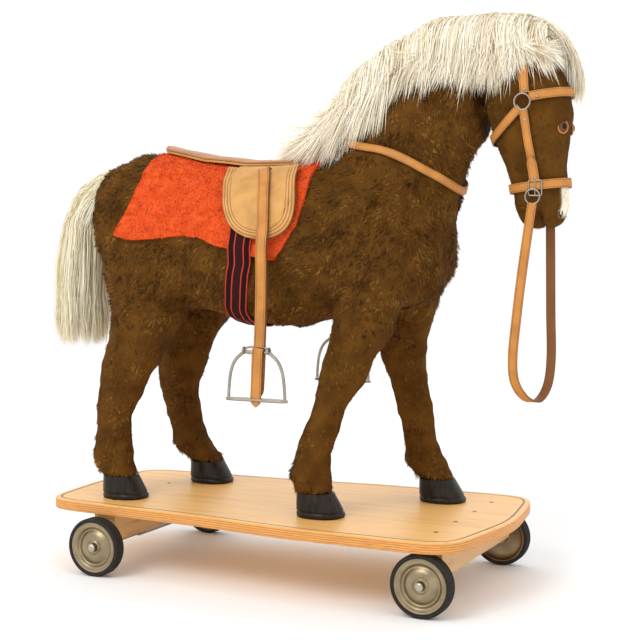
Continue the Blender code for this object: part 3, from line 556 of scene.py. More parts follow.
def ribbon_points(paths, facing, widths):
    """The corners of every strand: a left and a right one at each knot, and one at the tip."""
    count, knots = paths.shape[:2]
    side = unit(np.cross(np.gradient(paths, axis=1), facing[:, None, :]))
    taper = np.sqrt(1 - np.linspace(0.0, 1.0, knots) ** 2)[None, :, None] * widths[:, None, None] / 2
    points = np.empty((count, 2 * knots - 1, 3))
    points[:, 0:-1:2] = (paths - side * taper)[:, :-1]
    points[:, 1:-1:2] = (paths + side * taper)[:, :-1]
    points[:, -1] = paths[:, -1]
    return points


def ribbon_pattern(knots):
    """The triangles of one strand."""
    pattern = []
    for k in range(knots - 2):
        pattern += [(2 * k, 2 * k + 1, 2 * k + 3), (2 * k, 2 * k + 3, 2 * k + 2)]
    return np.array(pattern + [(2 * knots - 4, 2 * knots - 3, 2 * knots - 2)])


def ribbon_mesh(name, points, pattern, shades):
    """One mesh of many strands, filled from arrays."""
    strands, corners = points.shape[:2]
    faces = (pattern[None] + (np.arange(strands) * corners)[:, None, None]).reshape(-1, 3)
    mesh = bpy.data.meshes.new(name)
    mesh.vertices.add(strands * corners)
    mesh.vertices.foreach_set("co", points.astype(np.float32).ravel())
    mesh.loops.add(faces.size)
    mesh.loops.foreach_set("vertex_index", faces.astype(np.int32).ravel())
    mesh.polygons.add(len(faces))
    mesh.polygons.foreach_set("loop_start", np.arange(0, faces.size, 3, dtype=np.int32))
    mesh.polygons.foreach_set("material_index", np.repeat(shades, len(pattern)).astype(np.int32))
    mesh.update(calc_edges=True)
    return mesh


def twisted(out, amount, dice):
    """The ways out of strands, each turned a random amount."""
    return unit(unit(out) + amount * dice.normal(0, 1, out.shape))


def scatter(item, count, dice):
    """Random places on a mesh, even by area, with the smooth normal at each."""
    mesh = item.data
    mesh.calc_loop_triangles()
    corners = np.empty(len(mesh.loop_triangles) * 3, dtype=np.int64)
    mesh.loop_triangles.foreach_get("vertices", corners)
    corners = corners.reshape(-1, 3)
    points, normals = read_points(mesh), read_points(mesh, "normal")
    a, b, c = (points[corners[:, k]] for k in range(3))
    area = np.linalg.norm(np.cross(b - a, c - a), axis=1)
    picked = dice.choice(len(corners), size=count, p=area / area.sum())
    u, v = dice.random(count), dice.random(count)
    flip = u + v > 1
    u[flip], v[flip] = 1 - u[flip], 1 - v[flip]
    weights = np.stack([1 - u - v, u, v], axis=1)
    where = sum(weights[:, k:k + 1] * points[corners[picked, k]] for k in range(3))
    out = sum(weights[:, k:k + 1] * normals[corners[picked, k]] for k in range(3))
    return where, unit(out)


def ripple(points, size, dice):
    """A smooth random number between about -1 and 1 at each point, with waves of about this size."""
    total = np.zeros(len(points))
    for _ in range(6):
        way = unit(dice.normal(size=3)) * (2 * math.pi / size) * dice.uniform(0.6, 1.5)
        total += np.sin(points @ way + dice.uniform(0, 2 * math.pi))
    return total / 2.4


def pick_shade(count, level, dice, shades, mix=0.62):
    """A shade number for each strand, near a level between 0 and 1."""
    spread = level * (shades - 1) + dice.normal(0, 1, count) * mix
    return np.clip(np.rint(spread), 0, shades - 1).astype(int)


# ---------------------------------------------------------------- plush body

LEG_NAMES = ("right_hind", "left_hind", "right_fore", "left_fore")
PLUSH_NODES = ["torso", "neck", "head", "left_ear", "right_ear"] + [leg + "_leg" for leg in LEG_NAMES]
INNER_NODES = ["body_board", "neck_rod"] + [leg + "_leg_rod" for leg in LEG_NAMES]
MOUTH_X = 0.4325
MOUTH_TOP_Z = 0.632
MOUTH_DEPTH = 0.010
NOSTRIL = (0.4660, 0.0250, 0.6150)
NOSTRIL_DEPTH = 0.005
BROW = (0.4580, 0.0260, 0.7560)
BROW_RISE = 0.0050
BROW_REACH = 0.019
EYE_CENTRE = (0.4610, 0.0212, 0.7476)
EYE_RADIUS = 0.0100
EYE_FACING = (0.86, 0.51, 0.05)
BARE_ROUND_EYE = 0.0118
LEG_TOP_Z = 0.44
# Pile on the legs nearer the middle than this is darker: painted shade between the legs.
INNER_LEG_Y = 0.085  # the legs' pile is a little darker nearer the middle than this
HOOF_TOP_Z = 0.166
HEM_Z = 0.172  # the pile is longer below this, where it hangs over the hoof
FETLOCK_Z = (0.150, 0.250)
TACK_GAP = 0.0052  # no pile grows closer than this to the straps and the saddle
ROOT_DEPTH = 0.0015  # how far below its surface a strand starts


def body_skin():
    """One closed skin over the plush panels, with its inner bores filled and its joints eased."""
    work = bmesh.new()
    for name in PLUSH_NODES + INNER_NODES:
        work.from_mesh(NODES[name].data)
    rough = bpy.data.meshes.new("rough_body")
    work.to_mesh(rough)
    work.free()
    helper = new_object("rough_body", rough)
    remesh = helper.modifiers.new("skin", "REMESH")
    remesh.mode = "VOXEL"
    remesh.voxel_size = VOXEL
    ease = helper.modifiers.new("ease", "SMOOTH")
    ease.factor = 0.5
    ease.iterations = SMOOTHING
    bpy.context.view_layer.update()
    shaped = bpy.data.meshes.new_from_object(helper.evaluated_get(bpy.context.evaluated_depsgraph_get()))
    bpy.data.objects.remove(helper, do_unlink=True)
    shaped.name = "plush_skin"
    shape_skin(shaped)
    mark_points(shaped, "pale", cream_share(read_points(shaped)))
    made = add_mesh("plush_skin", shaped, [backing("plush_backing", FUR_SHADES, 30.0)], "toy", PLUSH_NODES)
    return made


def mouth_share(points):
    """How deep the mouth's crease is at each point, from 0 to 1."""
    across = np.exp(-((points[:, 0] - MOUTH_X) / 0.0042) ** 2)
    height = np.clip((MOUTH_TOP_Z - points[:, 2]) / 0.022, 0, 1)
    return across * height


def nostril_share(points):
    """How deep the nearer nostril is at each point, from 0 to 1. Each is a slanted oval."""
    x, y, z = NOSTRIL
    along = (points[:, 2] - z) + 0.5 * (points[:, 0] - x)
    aside = (points[:, 0] - x) - 0.35 * (points[:, 2] - z)
    off = np.abs(points[:, 1]) - y
    return np.exp(-((along / 0.0075) ** 2 + (aside / 0.0048) ** 2 + (off / 0.012) ** 2))


def shape_skin(mesh):
    """Presses the mouth's crease and the nostrils into the muzzle, rounds the brows over the eyes
    and lumps the stuffed body."""
    points, normals = read_points(mesh), read_points(mesh, "normal")
    dice = np.random.default_rng(SEED + 9)
    depth = MOUTH_DEPTH * mouth_share(points) + NOSTRIL_DEPTH * nostril_share(points)
    depth -= BROW_RISE * np.exp(-squared_from(points, BROW) / BROW_REACH ** 2)
    calm = 1 - 0.8 * np.clip((points[:, 0] - 0.26) / 0.06, 0, 1)
    depth += calm * (0.0019 * ripple(points, 0.075, dice) + 0.0011 * ripple(points, 0.034, dice))
    mesh.vertices.foreach_set("co", (points - normals * depth[:, None]).ravel())
    mesh.update()


def pile_flow(points):
    """The way the pile is combed: back and down on the body, down on the legs and the head."""
    flow = np.tile(np.array([-0.62, 0.0, -0.78]), (len(points), 1))
    legs = points[:, 2] < LEG_TOP_Z
    flow[legs] = (-0.12, 0.0, -1.0)
    front = np.clip((points[:, 0] - 0.10) / 0.12, 0, 1)[:, None]
    high = np.clip((points[:, 2] - 0.60) / 0.10, 0, 1)[:, None]
    head = front * high
    return flow * (1 - head) + np.array([-0.15, 0.0, -1.0]) * head


def along_surface(vectors, out):
    """The part of each vector that is square to the way out there."""
    return vectors - out * np.sum(vectors * out, axis=1, keepdims=True)


def strands_on(where, out, flow, length, lift, dice, knots=3, curl=0.0):
    """Strand paths that leave a surface at a lift from 0, flat, to 1, upright, and bend with the flow."""
    along = unit(along_surface(flow, out))
    step = (length / (knots - 1))[:, None]
    paths = np.empty((len(where), knots, 3))
    paths[:, 0] = where - out * ROOT_DEPTH
    for k in range(1, knots):
        stand = lift[:, None] * (1 - 0.55 * k / knots)
        way = unit(out * stand + along * (1 - stand) + dice.normal(0, curl, where.shape))
        paths[:, k] = paths[:, k - 1] + way * step
    return paths


def tufts(where, item, count, dice):
    """The nearest of so many scattered tuft centres to each place: its number and its place."""
    centres = scatter(item, count, dice)[0]
    search = KDTree(count)
    for k, centre in enumerate(centres):
        search.insert(centre, k)
    search.balance()
    numbers = np.array([search.find(place_at)[1] for place_at in where])
    return numbers, centres[numbers]


def turn_about(vectors, axes, angles):
    """Turns each vector about its own axis, which it is square to."""
    c, s = np.cos(angles)[:, None], np.sin(angles)[:, None]
    return vectors * c + np.cross(axes, vectors) * s


def far_from(tree, points, gap):
    """Which points lie further than a gap from the solids in a tree."""
    return np.array([tree.find_nearest(Vector(p), gap)[0] is None for p in points])


def body_pile(skin, tack):
    """The brown pile in pointed tufts, cream on the nose, with longer feathers behind the fetlocks."""
    dice = np.random.default_rng(SEED)
    where, out = scatter(skin, PILE_COUNT, dice)
    keep = grows_pile(where, out, tack)
    where, out = where[keep], out[keep]
    count = len(where)
    tuft, centre = tufts(where, skin, PILE_TUFTS, dice)
    tuft_turn, tuft_shade, tuft_lift = (dice.normal(0, spread, PILE_TUFTS)[tuft]
                                        for spread in (0.22, 0.085, 0.11))
    tuft_length = dice.uniform(0.75, 1.25, PILE_TUFTS)[tuft]

    swirl = 0.50 * ripple(where, 0.11, dice) + 0.30 * ripple(where, 0.040, dice) + tuft_turn
    flow = turn_about(along_surface(pile_flow(where), out), out, swirl)
    small = np.clip((where[:, 0] - 0.30) / 0.06, 0, 1) * np.clip((where[:, 2] - 0.58) / 0.02, 0, 1)
    length, lift = pile_stand(where, out, tuft_length, tuft_lift, small, dice)
    paths = strands_on(where, out, flow, length, lift, dice, curl=0.10)
    pull = along_surface(centre - where, out)
    for k in range(1, paths.shape[1]):
        paths[:, k] += pull * (0.62 * (k / (paths.shape[1] - 1)) ** 1.3)

    shades = pile_shades(where, tuft_shade, small, dice)
    widths = PILE_WIDTH * dice.uniform(0.7, 1.3, count) * (1 - 0.3 * small)
    materials = hair_shades("brown_pile", FUR_SHADES, 0.6, 0.06)
    materials += hair_shades("cream_pile", CREAM_SHADES, 0.7)
    ribbons("body_pile", paths, out, widths, shades, materials, "toy")


def grows_pile(where, out, tack):
    """Which places on the skin are bare of tack, eyes, mouth and nostrils, and not under a leg."""
    keep = far_from(tack, where, TACK_GAP) & (mouth_share(where) < 0.25) & (nostril_share(where) < 0.35)
    keep &= ~((where[:, 2] < HOOF_TOP_Z) & (out[:, 2] < -0.6))
    return keep & (squared_from(where, EYE_CENTRE) >= BARE_ROUND_EYE ** 2)


def pile_stand(where, out, tuft_length, tuft_lift, small, dice):
    """How long each strand of the pile is and how steeply it stands, less on the head and the legs."""
    count = len(where)
    leg = np.clip((0.46 - where[:, 2]) / 0.06, 0, 1)
    length = PILE_LENGTH * (1 + 0.16 * ripple(where, 0.05, dice)) * tuft_length
    length *= dice.uniform(0.8, 1.15, count)
    length *= (1 - 0.42 * small) * (1 - 0.26 * leg)
    lift = 0.34 + 0.10 * ripple(where, 0.06, dice) + tuft_lift * (1 - 0.5 * leg)
    lift = np.clip(lift - 0.06 * small - 0.09 * leg, 0.12, 0.75)
    feather = (where[:, 2] > FETLOCK_Z[0]) & (where[:, 2] < FETLOCK_Z[1]) & (out[:, 0] < -0.35)
    length *= 1 + 0.7 * feather * dice.random(count)
    length *= 1 + 0.6 * (where[:, 2] < HEM_Z) * dice.random(count)
    return length, lift


def pile_shades(where, tuft_shade, small, dice):
    """Each strand's material: the browns come first and the creams after them."""
    # The two ripples make lighter and darker patches in the pile: partly random tone, partly painted shading
    # that stands in for light on swirled fur.
    level = 0.13 * ripple(where, 0.10, dice) + 0.13 * ripple(where, 0.036, dice) + tuft_shade
    level = 0.48 + level * (1 - 0.5 * small)
    # The pile on the inner sides of the legs is darker: painted shade between the legs.
    level -= 0.08 * (where[:, 2] < LEG_TOP_Z) * (np.abs(where[:, 1]) < INNER_LEG_Y)
    shades = pick_shade(len(where), level, dice, len(FUR_SHADES), 0.62 - 0.25 * small)
    cream = cream_share(where) > dice.uniform(0.25, 0.75, len(where))
    shades[cream] = len(FUR_SHADES) + 1 + dice.integers(0, len(CREAM_SHADES) - 1, cream.sum())
    return shades


def cream_share(points):
    """The pale blaze that runs down the front of the nose to the lips."""
    x, y, z = points.T
    ahead = np.clip((x - 0.4560) / 0.005, 0, 1)
    level = np.clip((0.664 - z) / 0.010, 0, 1) * np.clip((z - 0.606) / 0.008, 0, 1)
    return ahead * level * np.clip((0.021 - np.abs(y)) / 0.004, 0, 1)


def squared_from(points, place_at):
    """The squared distance of each point from a place that both sides have."""
    x, y, z = place_at
    return (points[:, 0] - x) ** 2 + (np.abs(points[:, 1]) - y) ** 2 + (points[:, 2] - z) ** 2


def oval(centre, first, second, wide, tall, count):
    """Points round an oval, with its half widths along two directions."""
    turns = (2 * math.pi * k / count for k in range(count))
    return [centre + first * (wide * math.cos(turn)) + second * (tall * math.sin(turn)) for turn in turns]


def eyes():
    """Glass eyes: a brown iris round a black pupil, in a thin amber lid."""
    iris = amber_glass("eye_amber")
    lid = leather("eye_lid_skin", (0.50, 0.190, 0.052))
    pupil = gloss_black("eye_pupil")
    x, y, z = EYE_CENTRE
    for side, name in SIDES:
        centre = Vector((x, side * y, z))
        out = Vector((EYE_FACING[0], side * EYE_FACING[1], EYE_FACING[2])).normalized()
        across = out.orthogonal().normalized()
        glass_ball(f"{name}_eye_glass", centre, out, EYE_RADIUS, 180.0, iris, [f"{name}_eye"])
        glass_ball(f"{name}_eye_pupil", centre, out, EYE_RADIUS + 0.0003, 29.0, pupil)
        rim = circle(centre + out * 0.0044, across, out.cross(across), 0.0102, 36)
        tube(f"{name}_eye_lid", rim, 0.0015, lid, "toy", closed=True, sides=8)


def glass_ball(name, centre, out, radius, end, material, replaced=()):
    """The part of a ball within an angle of the direction it faces."""
    side = out.orthogonal().normalized()
    rings, count = 20, 32
    points = []
    for degree in steps_between(0.5, min(end, 179.5), rings):
        tilt = math.radians(degree)
        points += circle(centre + out * (math.cos(tilt) * radius), side, out.cross(side),
                         math.sin(tilt) * radius, count)
    mesh = mesh_from(name, points, ring_faces(rings, count, False))
    return add_mesh(name, mesh, [material], "toy", replaced)


# A nostril's section: (share of its size, height over the skin)
NOSTRIL_SECTION = ((1.0, -0.0010), (0.95, 0.0008), (0.6, 0.0004), (0.15, -0.0004))


def nostrils(skin_tree):
    """The nostrils' hollows, each filled with a black oval of painted shade."""
    hollow_shade = gloss_black("nostril_hollow_shade")
    x, y, z = NOSTRIL
    for side, name in SIDES:
        hit, normal, _, _ = skin_tree.ray_cast(Vector((x + 0.05, side * (y + 0.09), z)),
                                               Vector((-0.05, -side * 0.09, 0)).normalized())
        along = Vector((-0.45, 0.0, 1.0))
        along = (along - normal * along.dot(normal)).normalized()
        across = normal.cross(along)
        points = []
        for share, height in NOSTRIL_SECTION:
            points += oval(hit + normal * height, along, across, 0.0082 * share, 0.0044 * share, 20)
        mesh = mesh_from(f"{name}_nostril", points, ring_faces(len(NOSTRIL_SECTION), 20, False))
        add_mesh(f"{name}_nostril", mesh, [hollow_shade], "toy")


# ---------------------------------------------------------------- mane and tail

# The crest: (x, middle z, half width, half thickness), from the withers to the poll
CREST = [
    (0.066, 0.722, 0.032, 0.020), (0.100, 0.765, 0.048, 0.034), (0.142, 0.812, 0.058, 0.041),
    (0.200, 0.850, 0.064, 0.046), (0.270, 0.874, 0.066, 0.052), (0.344, 0.878, 0.062, 0.050),
    (0.398, 0.880, 0.055, 0.044), (0.430, 0.874, 0.034, 0.034),
]
# The mane's lower edge: (x, z)
FRINGE = [
    (-0.010, 0.690), (0.037, 0.702), (0.064, 0.712), (0.092, 0.718), (0.110, 0.728), (0.142, 0.742),
    (0.173, 0.782), (0.198, 0.806), (0.217, 0.822), (0.234, 0.816), (0.264, 0.825), (0.291, 0.816),
    (0.316, 0.804), (0.333, 0.820), (0.347, 0.812), (0.373, 0.822), (0.396, 0.820), (0.404, 0.832),
    (0.440, 0.834),
]
# The forelock's middle line over the poll and down the forehead: (x, z)
FORELOCK = [
    (0.368, 0.910), (0.402, 0.917), (0.434, 0.908), (0.458, 0.886), (0.472, 0.857), (0.478, 0.826),
    (0.477, 0.795), (0.473, 0.768),
]
# How far down that line the hair reaches, by its y: (y, share)
FORELOCK_REACH = [(-0.036, 0.30), (-0.010, 0.36), (0.008, 0.62), (0.020, 1.0), (0.036, 0.95), (0.050, 0.70)]
# The tail's middle line: (x, z, radius), from its root to its tip
TAIL = [
    (-0.3700, 0.684, 0.015), (-0.3940, 0.668, 0.022), (-0.4200, 0.643, 0.030), (-0.4400, 0.600, 0.037),
    (-0.4480, 0.545, 0.041), (-0.4510, 0.480, 0.043), (-0.4520, 0.420, 0.043), (-0.4515, 0.376, 0.040),
]
MANE_STRANDS = 19000
MANE_LOCKS = 620
FORELOCK_STRANDS = 8000
FORELOCKS = 200
TAIL_STRANDS = 7500
TAIL_LOCKS = 130


def along_rows(rows, share):
    """Rows of numbers read at shares from 0 to 1 of the way along them."""
    table = np.array(rows)
    places = np.linspace(0, 1, len(table))
    return np.stack([np.interp(share, places, table[:, k]) for k in range(table.shape[1])], axis=1)


def hair_core(name, rows, narrow, count, rise, shades, body, replaced):
    """The dense hair under loose strands. A row is x, z, half the width and half the thickness, and
    narrow is the share of them that the core has there."""
    last = len(rows) - 1
    points = []
    for i, ((x, z, half, thick), share) in enumerate(zip(rows, narrow)):
        ahead = rows[min(i + 1, last)] - rows[max(i - 1, 0)]
        up = Vector((-ahead[1], 0, ahead[0])).normalized()
        centre = Vector((x, 0, z)) + up * rise
        points += oval(centre, Vector((0, 1, 0)), up, half * share, thick * share, count)
    mesh = mesh_from(f"{name}_core", points, ring_faces(len(rows), count, False))
    add_mesh(f"{name}_core", mesh, [hair_cloth(f"{name}_cloth", shades)], body, [replaced])


def mane_core():
    """The mane's dense hair, drawn in at both its ends."""
    count = 40
    rows = along_rows(CREST, np.linspace(0, 1, count))
    narrow = [0.74 * math.sin(math.pi * min(1.0, (i + 1) / 6) / 2)
              * math.sin(math.pi * min(1.0, (count - i) / 7) / 2) for i in range(count)]
    hair_core("mane", rows, narrow, 24, 0.002, CREAM_SHADES, "toy", "mane")


def mane_strands():
    """Long strands from the crest that fall over both sides of the neck in pointed locks."""
    dice = np.random.default_rng(SEED + 1)
    count, knots = MANE_STRANDS, 8
    lock = dice.integers(0, MANE_LOCKS, count)
    stray = 1.0 + 2.6 * (dice.random(count) < 0.10)
    root = dice.random(MANE_LOCKS)[lock]
    share = np.clip(root + dice.normal(0, 0.020, count), 0, 1)
    side = np.where(dice.random(MANE_LOCKS) < 0.56, -1.0, 1.0)[lock]
    depth = dice.uniform(0.74, 1.04, MANE_LOCKS)[lock] + dice.uniform(-0.05, 0.05, count)
    sway = dice.normal(0, 1, (MANE_LOCKS, 3))[lock]
    x, z, half, thick = along_rows(CREST, share).T
    middle_x = along_rows(CREST, root)[:, 0]
    ahead = along_rows(CREST, np.minimum(share + 0.02, 1)) - along_rows(CREST, np.maximum(share - 0.02, 0))
    slope = unit(ahead[:, :2])
    drift = np.interp(share, [0, 0.25, 0.5, 0.75, 0.92, 1.0], [0.098, 0.074, 0.036, 0.006, -0.010, -0.016])
    fringe = np.interp(middle_x - drift, *np.array(FRINGE).T)
    fall = fringe + dice.exponential(0.020, MANE_LOCKS)[lock] + 0.004 * sway[:, 2] - 0.010
    fall += dice.exponential(0.009, count) - 0.004 * stray * dice.random(count)
    puff = dice.uniform(0.0, 0.12, MANE_LOCKS)[lock] + 0.05 * (stray - 1) * dice.random(count)
    start_turn = dice.uniform(58, 102, MANE_LOCKS)[lock] + dice.normal(0, 5, count)
    paths = np.empty((count, knots, 3))
    for k in range(knots):
        t = k / (knots - 1)
        arc = min(1.0, t / 0.55)
        turn = np.radians(start_turn * (1 - arc) - 8 * arc)
        gather = (middle_x - x) * 0.80 * t ** 1.2
        down = max(0.0, (t - 0.40) / 0.60) ** 1.15
        rise = thick * (depth + puff * math.sin(math.pi * t)) * np.sin(turn)
        px = x + gather - slope[:, 1] * rise - drift * (0.35 * arc + 0.65 * down)
        pz = z + slope[:, 0] * rise
        pz = pz * (1 - down) + np.minimum(fall, pz) * down
        lean = half * depth * np.cos(turn) * (1 - 0.12 * down)
        paths[:, k] = np.stack([px, side * lean, pz], axis=1)
    bend = np.linspace(0, 1, knots)[None, :, None] ** 1.6
    wander = sway * np.array([0.0150, 0.0060, 0.0040])
    wander += dice.normal(0, 0.0034, (count, 3)) * stray[:, None]
    wander[:, 1] = side * np.abs(wander[:, 1])
    paths += wander[:, None, :] * bend
    out = np.stack([np.zeros(count), side, 0.55 * np.ones(count)], axis=1)
    tone = dice.normal(0, 0.13, MANE_LOCKS)[lock]
    # Strands that lie deeper in the mane, under the others, get darker shades: painted shade.
    shades = pick_shade(count, 0.74 + tone - 0.24 * (depth < 0.82), dice, len(CREAM_SHADES))
    widths = dice.uniform(0.0008, 0.0016, count)
    ribbons("mane_strands", paths, twisted(out, 0.5, dice), widths, shades,
            hair_shades("pale_hair", CREAM_SHADES, 0.5), "toy")


def forelock_strands():
    """The hair over the poll, short on the right side, that falls over the forehead on the left."""
    dice = np.random.default_rng(SEED + 2)
    count, knots = FORELOCK_STRANDS, 8
    lock = dice.integers(0, FORELOCKS, count)
    middle = dice.uniform(-0.036, 0.050, FORELOCKS)[lock]
    y = middle + dice.normal(0, 0.0045, count)
    most = np.interp(middle, *np.array(FORELOCK_REACH).T)
    reach = most * dice.uniform(0.72, 1.0, FORELOCKS)[lock] * dice.uniform(0.86, 1.0, count)
    proud = dice.uniform(-0.024, 0.004, FORELOCKS)[lock] + dice.normal(0, 0.0013, count)
    paths = np.empty((count, knots, 3))
    for k in range(knots):
        t = reach * k / (knots - 1)
        x, z = along_rows(FORELOCK, t).T
        tilt = np.clip((t - 0.2) / 0.5, 0, 1)
        spread = y + (middle - y) * 0.75 * t
        x = x + proud * tilt - 2.0 * np.abs(spread - 0.022) ** 1.5 * tilt
        z = z + proud * (1 - tilt) - 5.0 * np.abs(spread) ** 1.9 * (1 - 0.6 * tilt)
        paths[:, k] = np.stack([x, spread * (0.80 + 0.20 * tilt), z], axis=1)
    sway = dice.normal(0, 1, (FORELOCKS, 3))[lock] * np.array([0.0020, 0.0045, 0.0030])
    bend = np.linspace(0, 1, knots)[None, :, None] ** 1.5
    paths += (sway + dice.normal(0, 0.0026, (count, 3)))[:, None, :] * bend
    out = np.stack([np.full(count, 0.60), (y - 0.01) * 16, np.full(count, 0.8)], axis=1)
    tone = dice.normal(0, 0.13, FORELOCKS)[lock]
    shades = pick_shade(count, 0.72 + tone, dice, len(CREAM_SHADES))
    widths = dice.uniform(0.0009, 0.0018, count)
    ribbons("forelock", paths, twisted(out, 1.2, dice), widths, shades,
            hair_shades("forelock_hair", CREAM_SHADES, 0.5), "toy")


def tail_core():
    """The tail's dense hair, drawn in at its lower end."""
    rows = along_rows(TAIL, np.linspace(0, 0.86, 30))[:, (0, 1, 2, 2)]
    narrow = [0.70 * math.sin(math.pi / 2 * min(1.0, (30 - i) / 9)) for i in range(30)]
    hair_core("tail", rows, narrow, 20, 0.0, TAIL_SHADES, "tail_hank", "tail")


def tail_strands():
    """Long wavy strands that hang from the rump in a thick hank."""
    dice = np.random.default_rng(SEED + 3)
    count, knots = TAIL_STRANDS, 12
    lock = dice.integers(0, TAIL_LOCKS, count)
    lock_turn = dice.uniform(0, 2 * math.pi, TAIL_LOCKS)[lock]
    turn = lock_turn + dice.normal(0, 0.20, count)
    lock_depth = np.sqrt(dice.uniform(0.40, 1.08, TAIL_LOCKS))[lock]
    depth = lock_depth + dice.uniform(-0.06, 0.06, count)
    reach = np.where(dice.random(TAIL_LOCKS) < 0.3, 0.62, 0.90)[lock] + dice.exponential(0.05, count)
    reach = np.minimum(1.0, reach + dice.uniform(-0.10, 0.06, TAIL_LOCKS)[lock])
    begin = dice.random(count) ** 2 * 0.30
    phase = dice.uniform(0, 2 * math.pi, TAIL_LOCKS)[lock]
    swing = dice.uniform(0.0015, 0.0042, TAIL_LOCKS)[lock]
    paths = np.empty((count, knots, 3))
    for k in range(knots):
        t = begin + (reach - begin) * k / (knots - 1)
        x, z, radius = along_rows(TAIL, t).T
        ahead = along_rows(TAIL, np.minimum(t + 0.03, 1)) - along_rows(TAIL, np.maximum(t - 0.03, 0))
        slope = unit(ahead[:, :2])
        wave = swing * np.sin(19.0 * t + phase)
        at = turn + (lock_turn - turn) * 0.7 * t
        rise = radius * depth * np.sin(at) + wave
        across = radius * depth * np.cos(at) * 0.96 + 0.8 * swing * np.cos(17.0 * t + 2 * phase)
        paths[:, k] = np.stack([x - slope[:, 1] * rise, across, z + slope[:, 0] * rise], axis=1)
    bend = np.linspace(0, 1, knots)[None, :, None] ** 1.6
    paths += dice.normal(0, 0.0040, (count, 1, 3)) * bend
    out = np.stack([-np.sin(turn), np.cos(turn), 0.15 * np.ones(count)], axis=1)
    tone = dice.normal(0, 0.15, TAIL_LOCKS)[lock]
    # Strands that lie deeper in the tail, under the others, get darker shades: painted shade.
    shades = pick_shade(count, 0.66 + tone - 0.20 * (depth < 0.8), dice, len(TAIL_SHADES))
    widths = dice.uniform(0.0009, 0.0017, count)
    ribbons("tail_strands", paths, twisted(out, 0.9, dice), widths, shades,
            hair_shades("tail_hair", TAIL_SHADES, 0.5), "tail_hank")


# ---------------------------------------------------------------- saddle

SEAT_THICKNESS = 0.0085
SEAT_ROWS, SEAT_COLUMNS = 90, 30
SEAT_PIPING = 0.006  # the seat's stitched line, by its distance from the edge
FLAP_MIDDLE_X = (-0.0258, -0.0190, -0.0090, -0.0015, 0.0035)  # at even shares of the way down
FLAP_HALF = 0.0670
FLAP_THICKNESS = 0.0034
FLAP_POWER = 6  # how square the flap's foot is
FLAP_LENGTH = 0.150  # over the flank's curve, from the seat's edge to the foot
FLAP_TURNS = (53.0, -4.4)  # degrees above the level, seen from the axis below
FLAP_AXIS_Z = 0.585
FLAP_CREASES = (0.0050, 0.0115, 0.0180)  # tooled lines, by their distance from the flap's edge
SLOT = (-0.0185, 0.07)  # x of the slot that the stirrup strap comes out of, and its share of the way down
# The stirrup strap over the flap: (x, share of the way down)
STRAP_OVER_FLAP = [(-0.0160, 0.13), (-0.0050, 0.30), (0.0035, 0.50), (0.0095, 0.70), (0.0120, 0.88)]
STIRRUP_X = 0.0038
STIRRUP_Y = 0.1649
STIRRUP_BAR_Z = 0.394
STIRRUP_STRAP = 0.0195
IRON_EYE_X = 0.0225  # the iron's two eyes, each side of its middle
TREAD_HALF = 0.0560
TREAD_HALF_WIDTH = 0.0085
TREAD_RIDGES = 0.0075  # from one ridge to the next

GIRTH_AXIS_Z = 0.560
GIRTH_WIDTH = 0.0415
GIRTH_THICKNESS = 0.0022
# The girth's middle line: (z, x)
GIRTH_MIDDLE = [(0.410, -0.0790), (0.450, -0.0720), (0.482, -0.0560), (0.531, -0.0410), (0.576, -0.0340),
                (0.635, -0.0300)]

BLANKET_RADIUS = 0.148  # of the round back that the blanket lies over
BLANKET_TOP = 0.0070  # the cloth's outer face over the back
BLANKET_UNDER = 0.0010
BLANKET_STRANDS = 150000
BLANKET_PILE = 0.0046

# The saddle blanket's cut edges: its foot as (x, z), its rear and its front as (z, x)
BLANKET_FOOT = [
    (-0.2879, 0.5790), (-0.2566, 0.5700), (-0.2094, 0.5735), (-0.1615, 0.5790), (-0.1302, 0.5760),
    (-0.1047, 0.5660), (-0.0703, 0.5565), (-0.0266, 0.5455), (0.0192, 0.5370),
]
BLANKET_REAR = [(0.577, -0.2890), (0.603, -0.2744), (0.627, -0.2600), (0.648, -0.2516), (0.673, -0.2460),
                (0.735, -0.2490)]
BLANKET_FRONT = [(0.537, 0.0192), (0.556, 0.0355), (0.572, 0.0439), (0.598, 0.0582), (0.644, 0.0672),
                 (0.671, 0.0668), (0.735, 0.0620)]


def grid_faces(rows, columns):
    """The faces of a closed sheet between two grids, the second right after the first."""
    size = rows * columns
    faces = []
    for i in range(rows - 1):
        for k in range(columns - 1):
            a, b = i * columns + k, (i + 1) * columns + k
            faces.append((a, a + 1, b + 1, b))
            faces.append((size + a, size + b, size + b + 1, size + a + 1))
    rim = [(0, k) for k in range(columns)] + [(i, columns - 1) for i in range(1, rows)]
    rim += [(rows - 1, k) for k in range(columns - 2, -1, -1)] + [(i, 0) for i in range(rows - 2, 0, -1)]
    for (i, k), (j, m) in zip(rim, rim[1:] + rim[:1]):
        a, b = i * columns + k, j * columns + m
        faces.append((a, b, size + b, size + a))
    return faces


def saddle_blanket():
    """The plush saddle cloth: a sheet over the back, its edges as cut, with a short curly pile."""
    rows, columns = 84, 90
    body = tree_of(NODES["torso"])
    dice = np.random.default_rng(SEED + 4)
    places = np.array([blanket_place(body, u, v) for v in steps_between(-1.0, 1.0, columns)
                       for u in steps_between(0.0, 1.0, rows)])
    hits, outs, down = places[:, :3], places[:, 3:6], places[:, 6:]
    low = np.clip((down - 0.55) / 0.4, 0, 1)  # the folds show in the low part only
    folds = ripple(hits * np.array([1.0, 0.1, 0.35]), 0.060, dice)[:, None] * low
    outer = hits + outs * (BLANKET_TOP + 0.0018 * folds)
    inner = hits + outs * (BLANKET_UNDER + 0.0018 * np.maximum(folds, 0))
    mesh = mesh_from("blanket_cloth", np.concatenate([outer, inner]), grid_faces(columns, rows))
    cloth = add_mesh("blanket_cloth", mesh, [backing("blanket_backing", BLANKET_SHADES, 60.0)], "toy",
                     ["saddle_blanket"])
    pile = blanket_pile(cloth, body, dice)


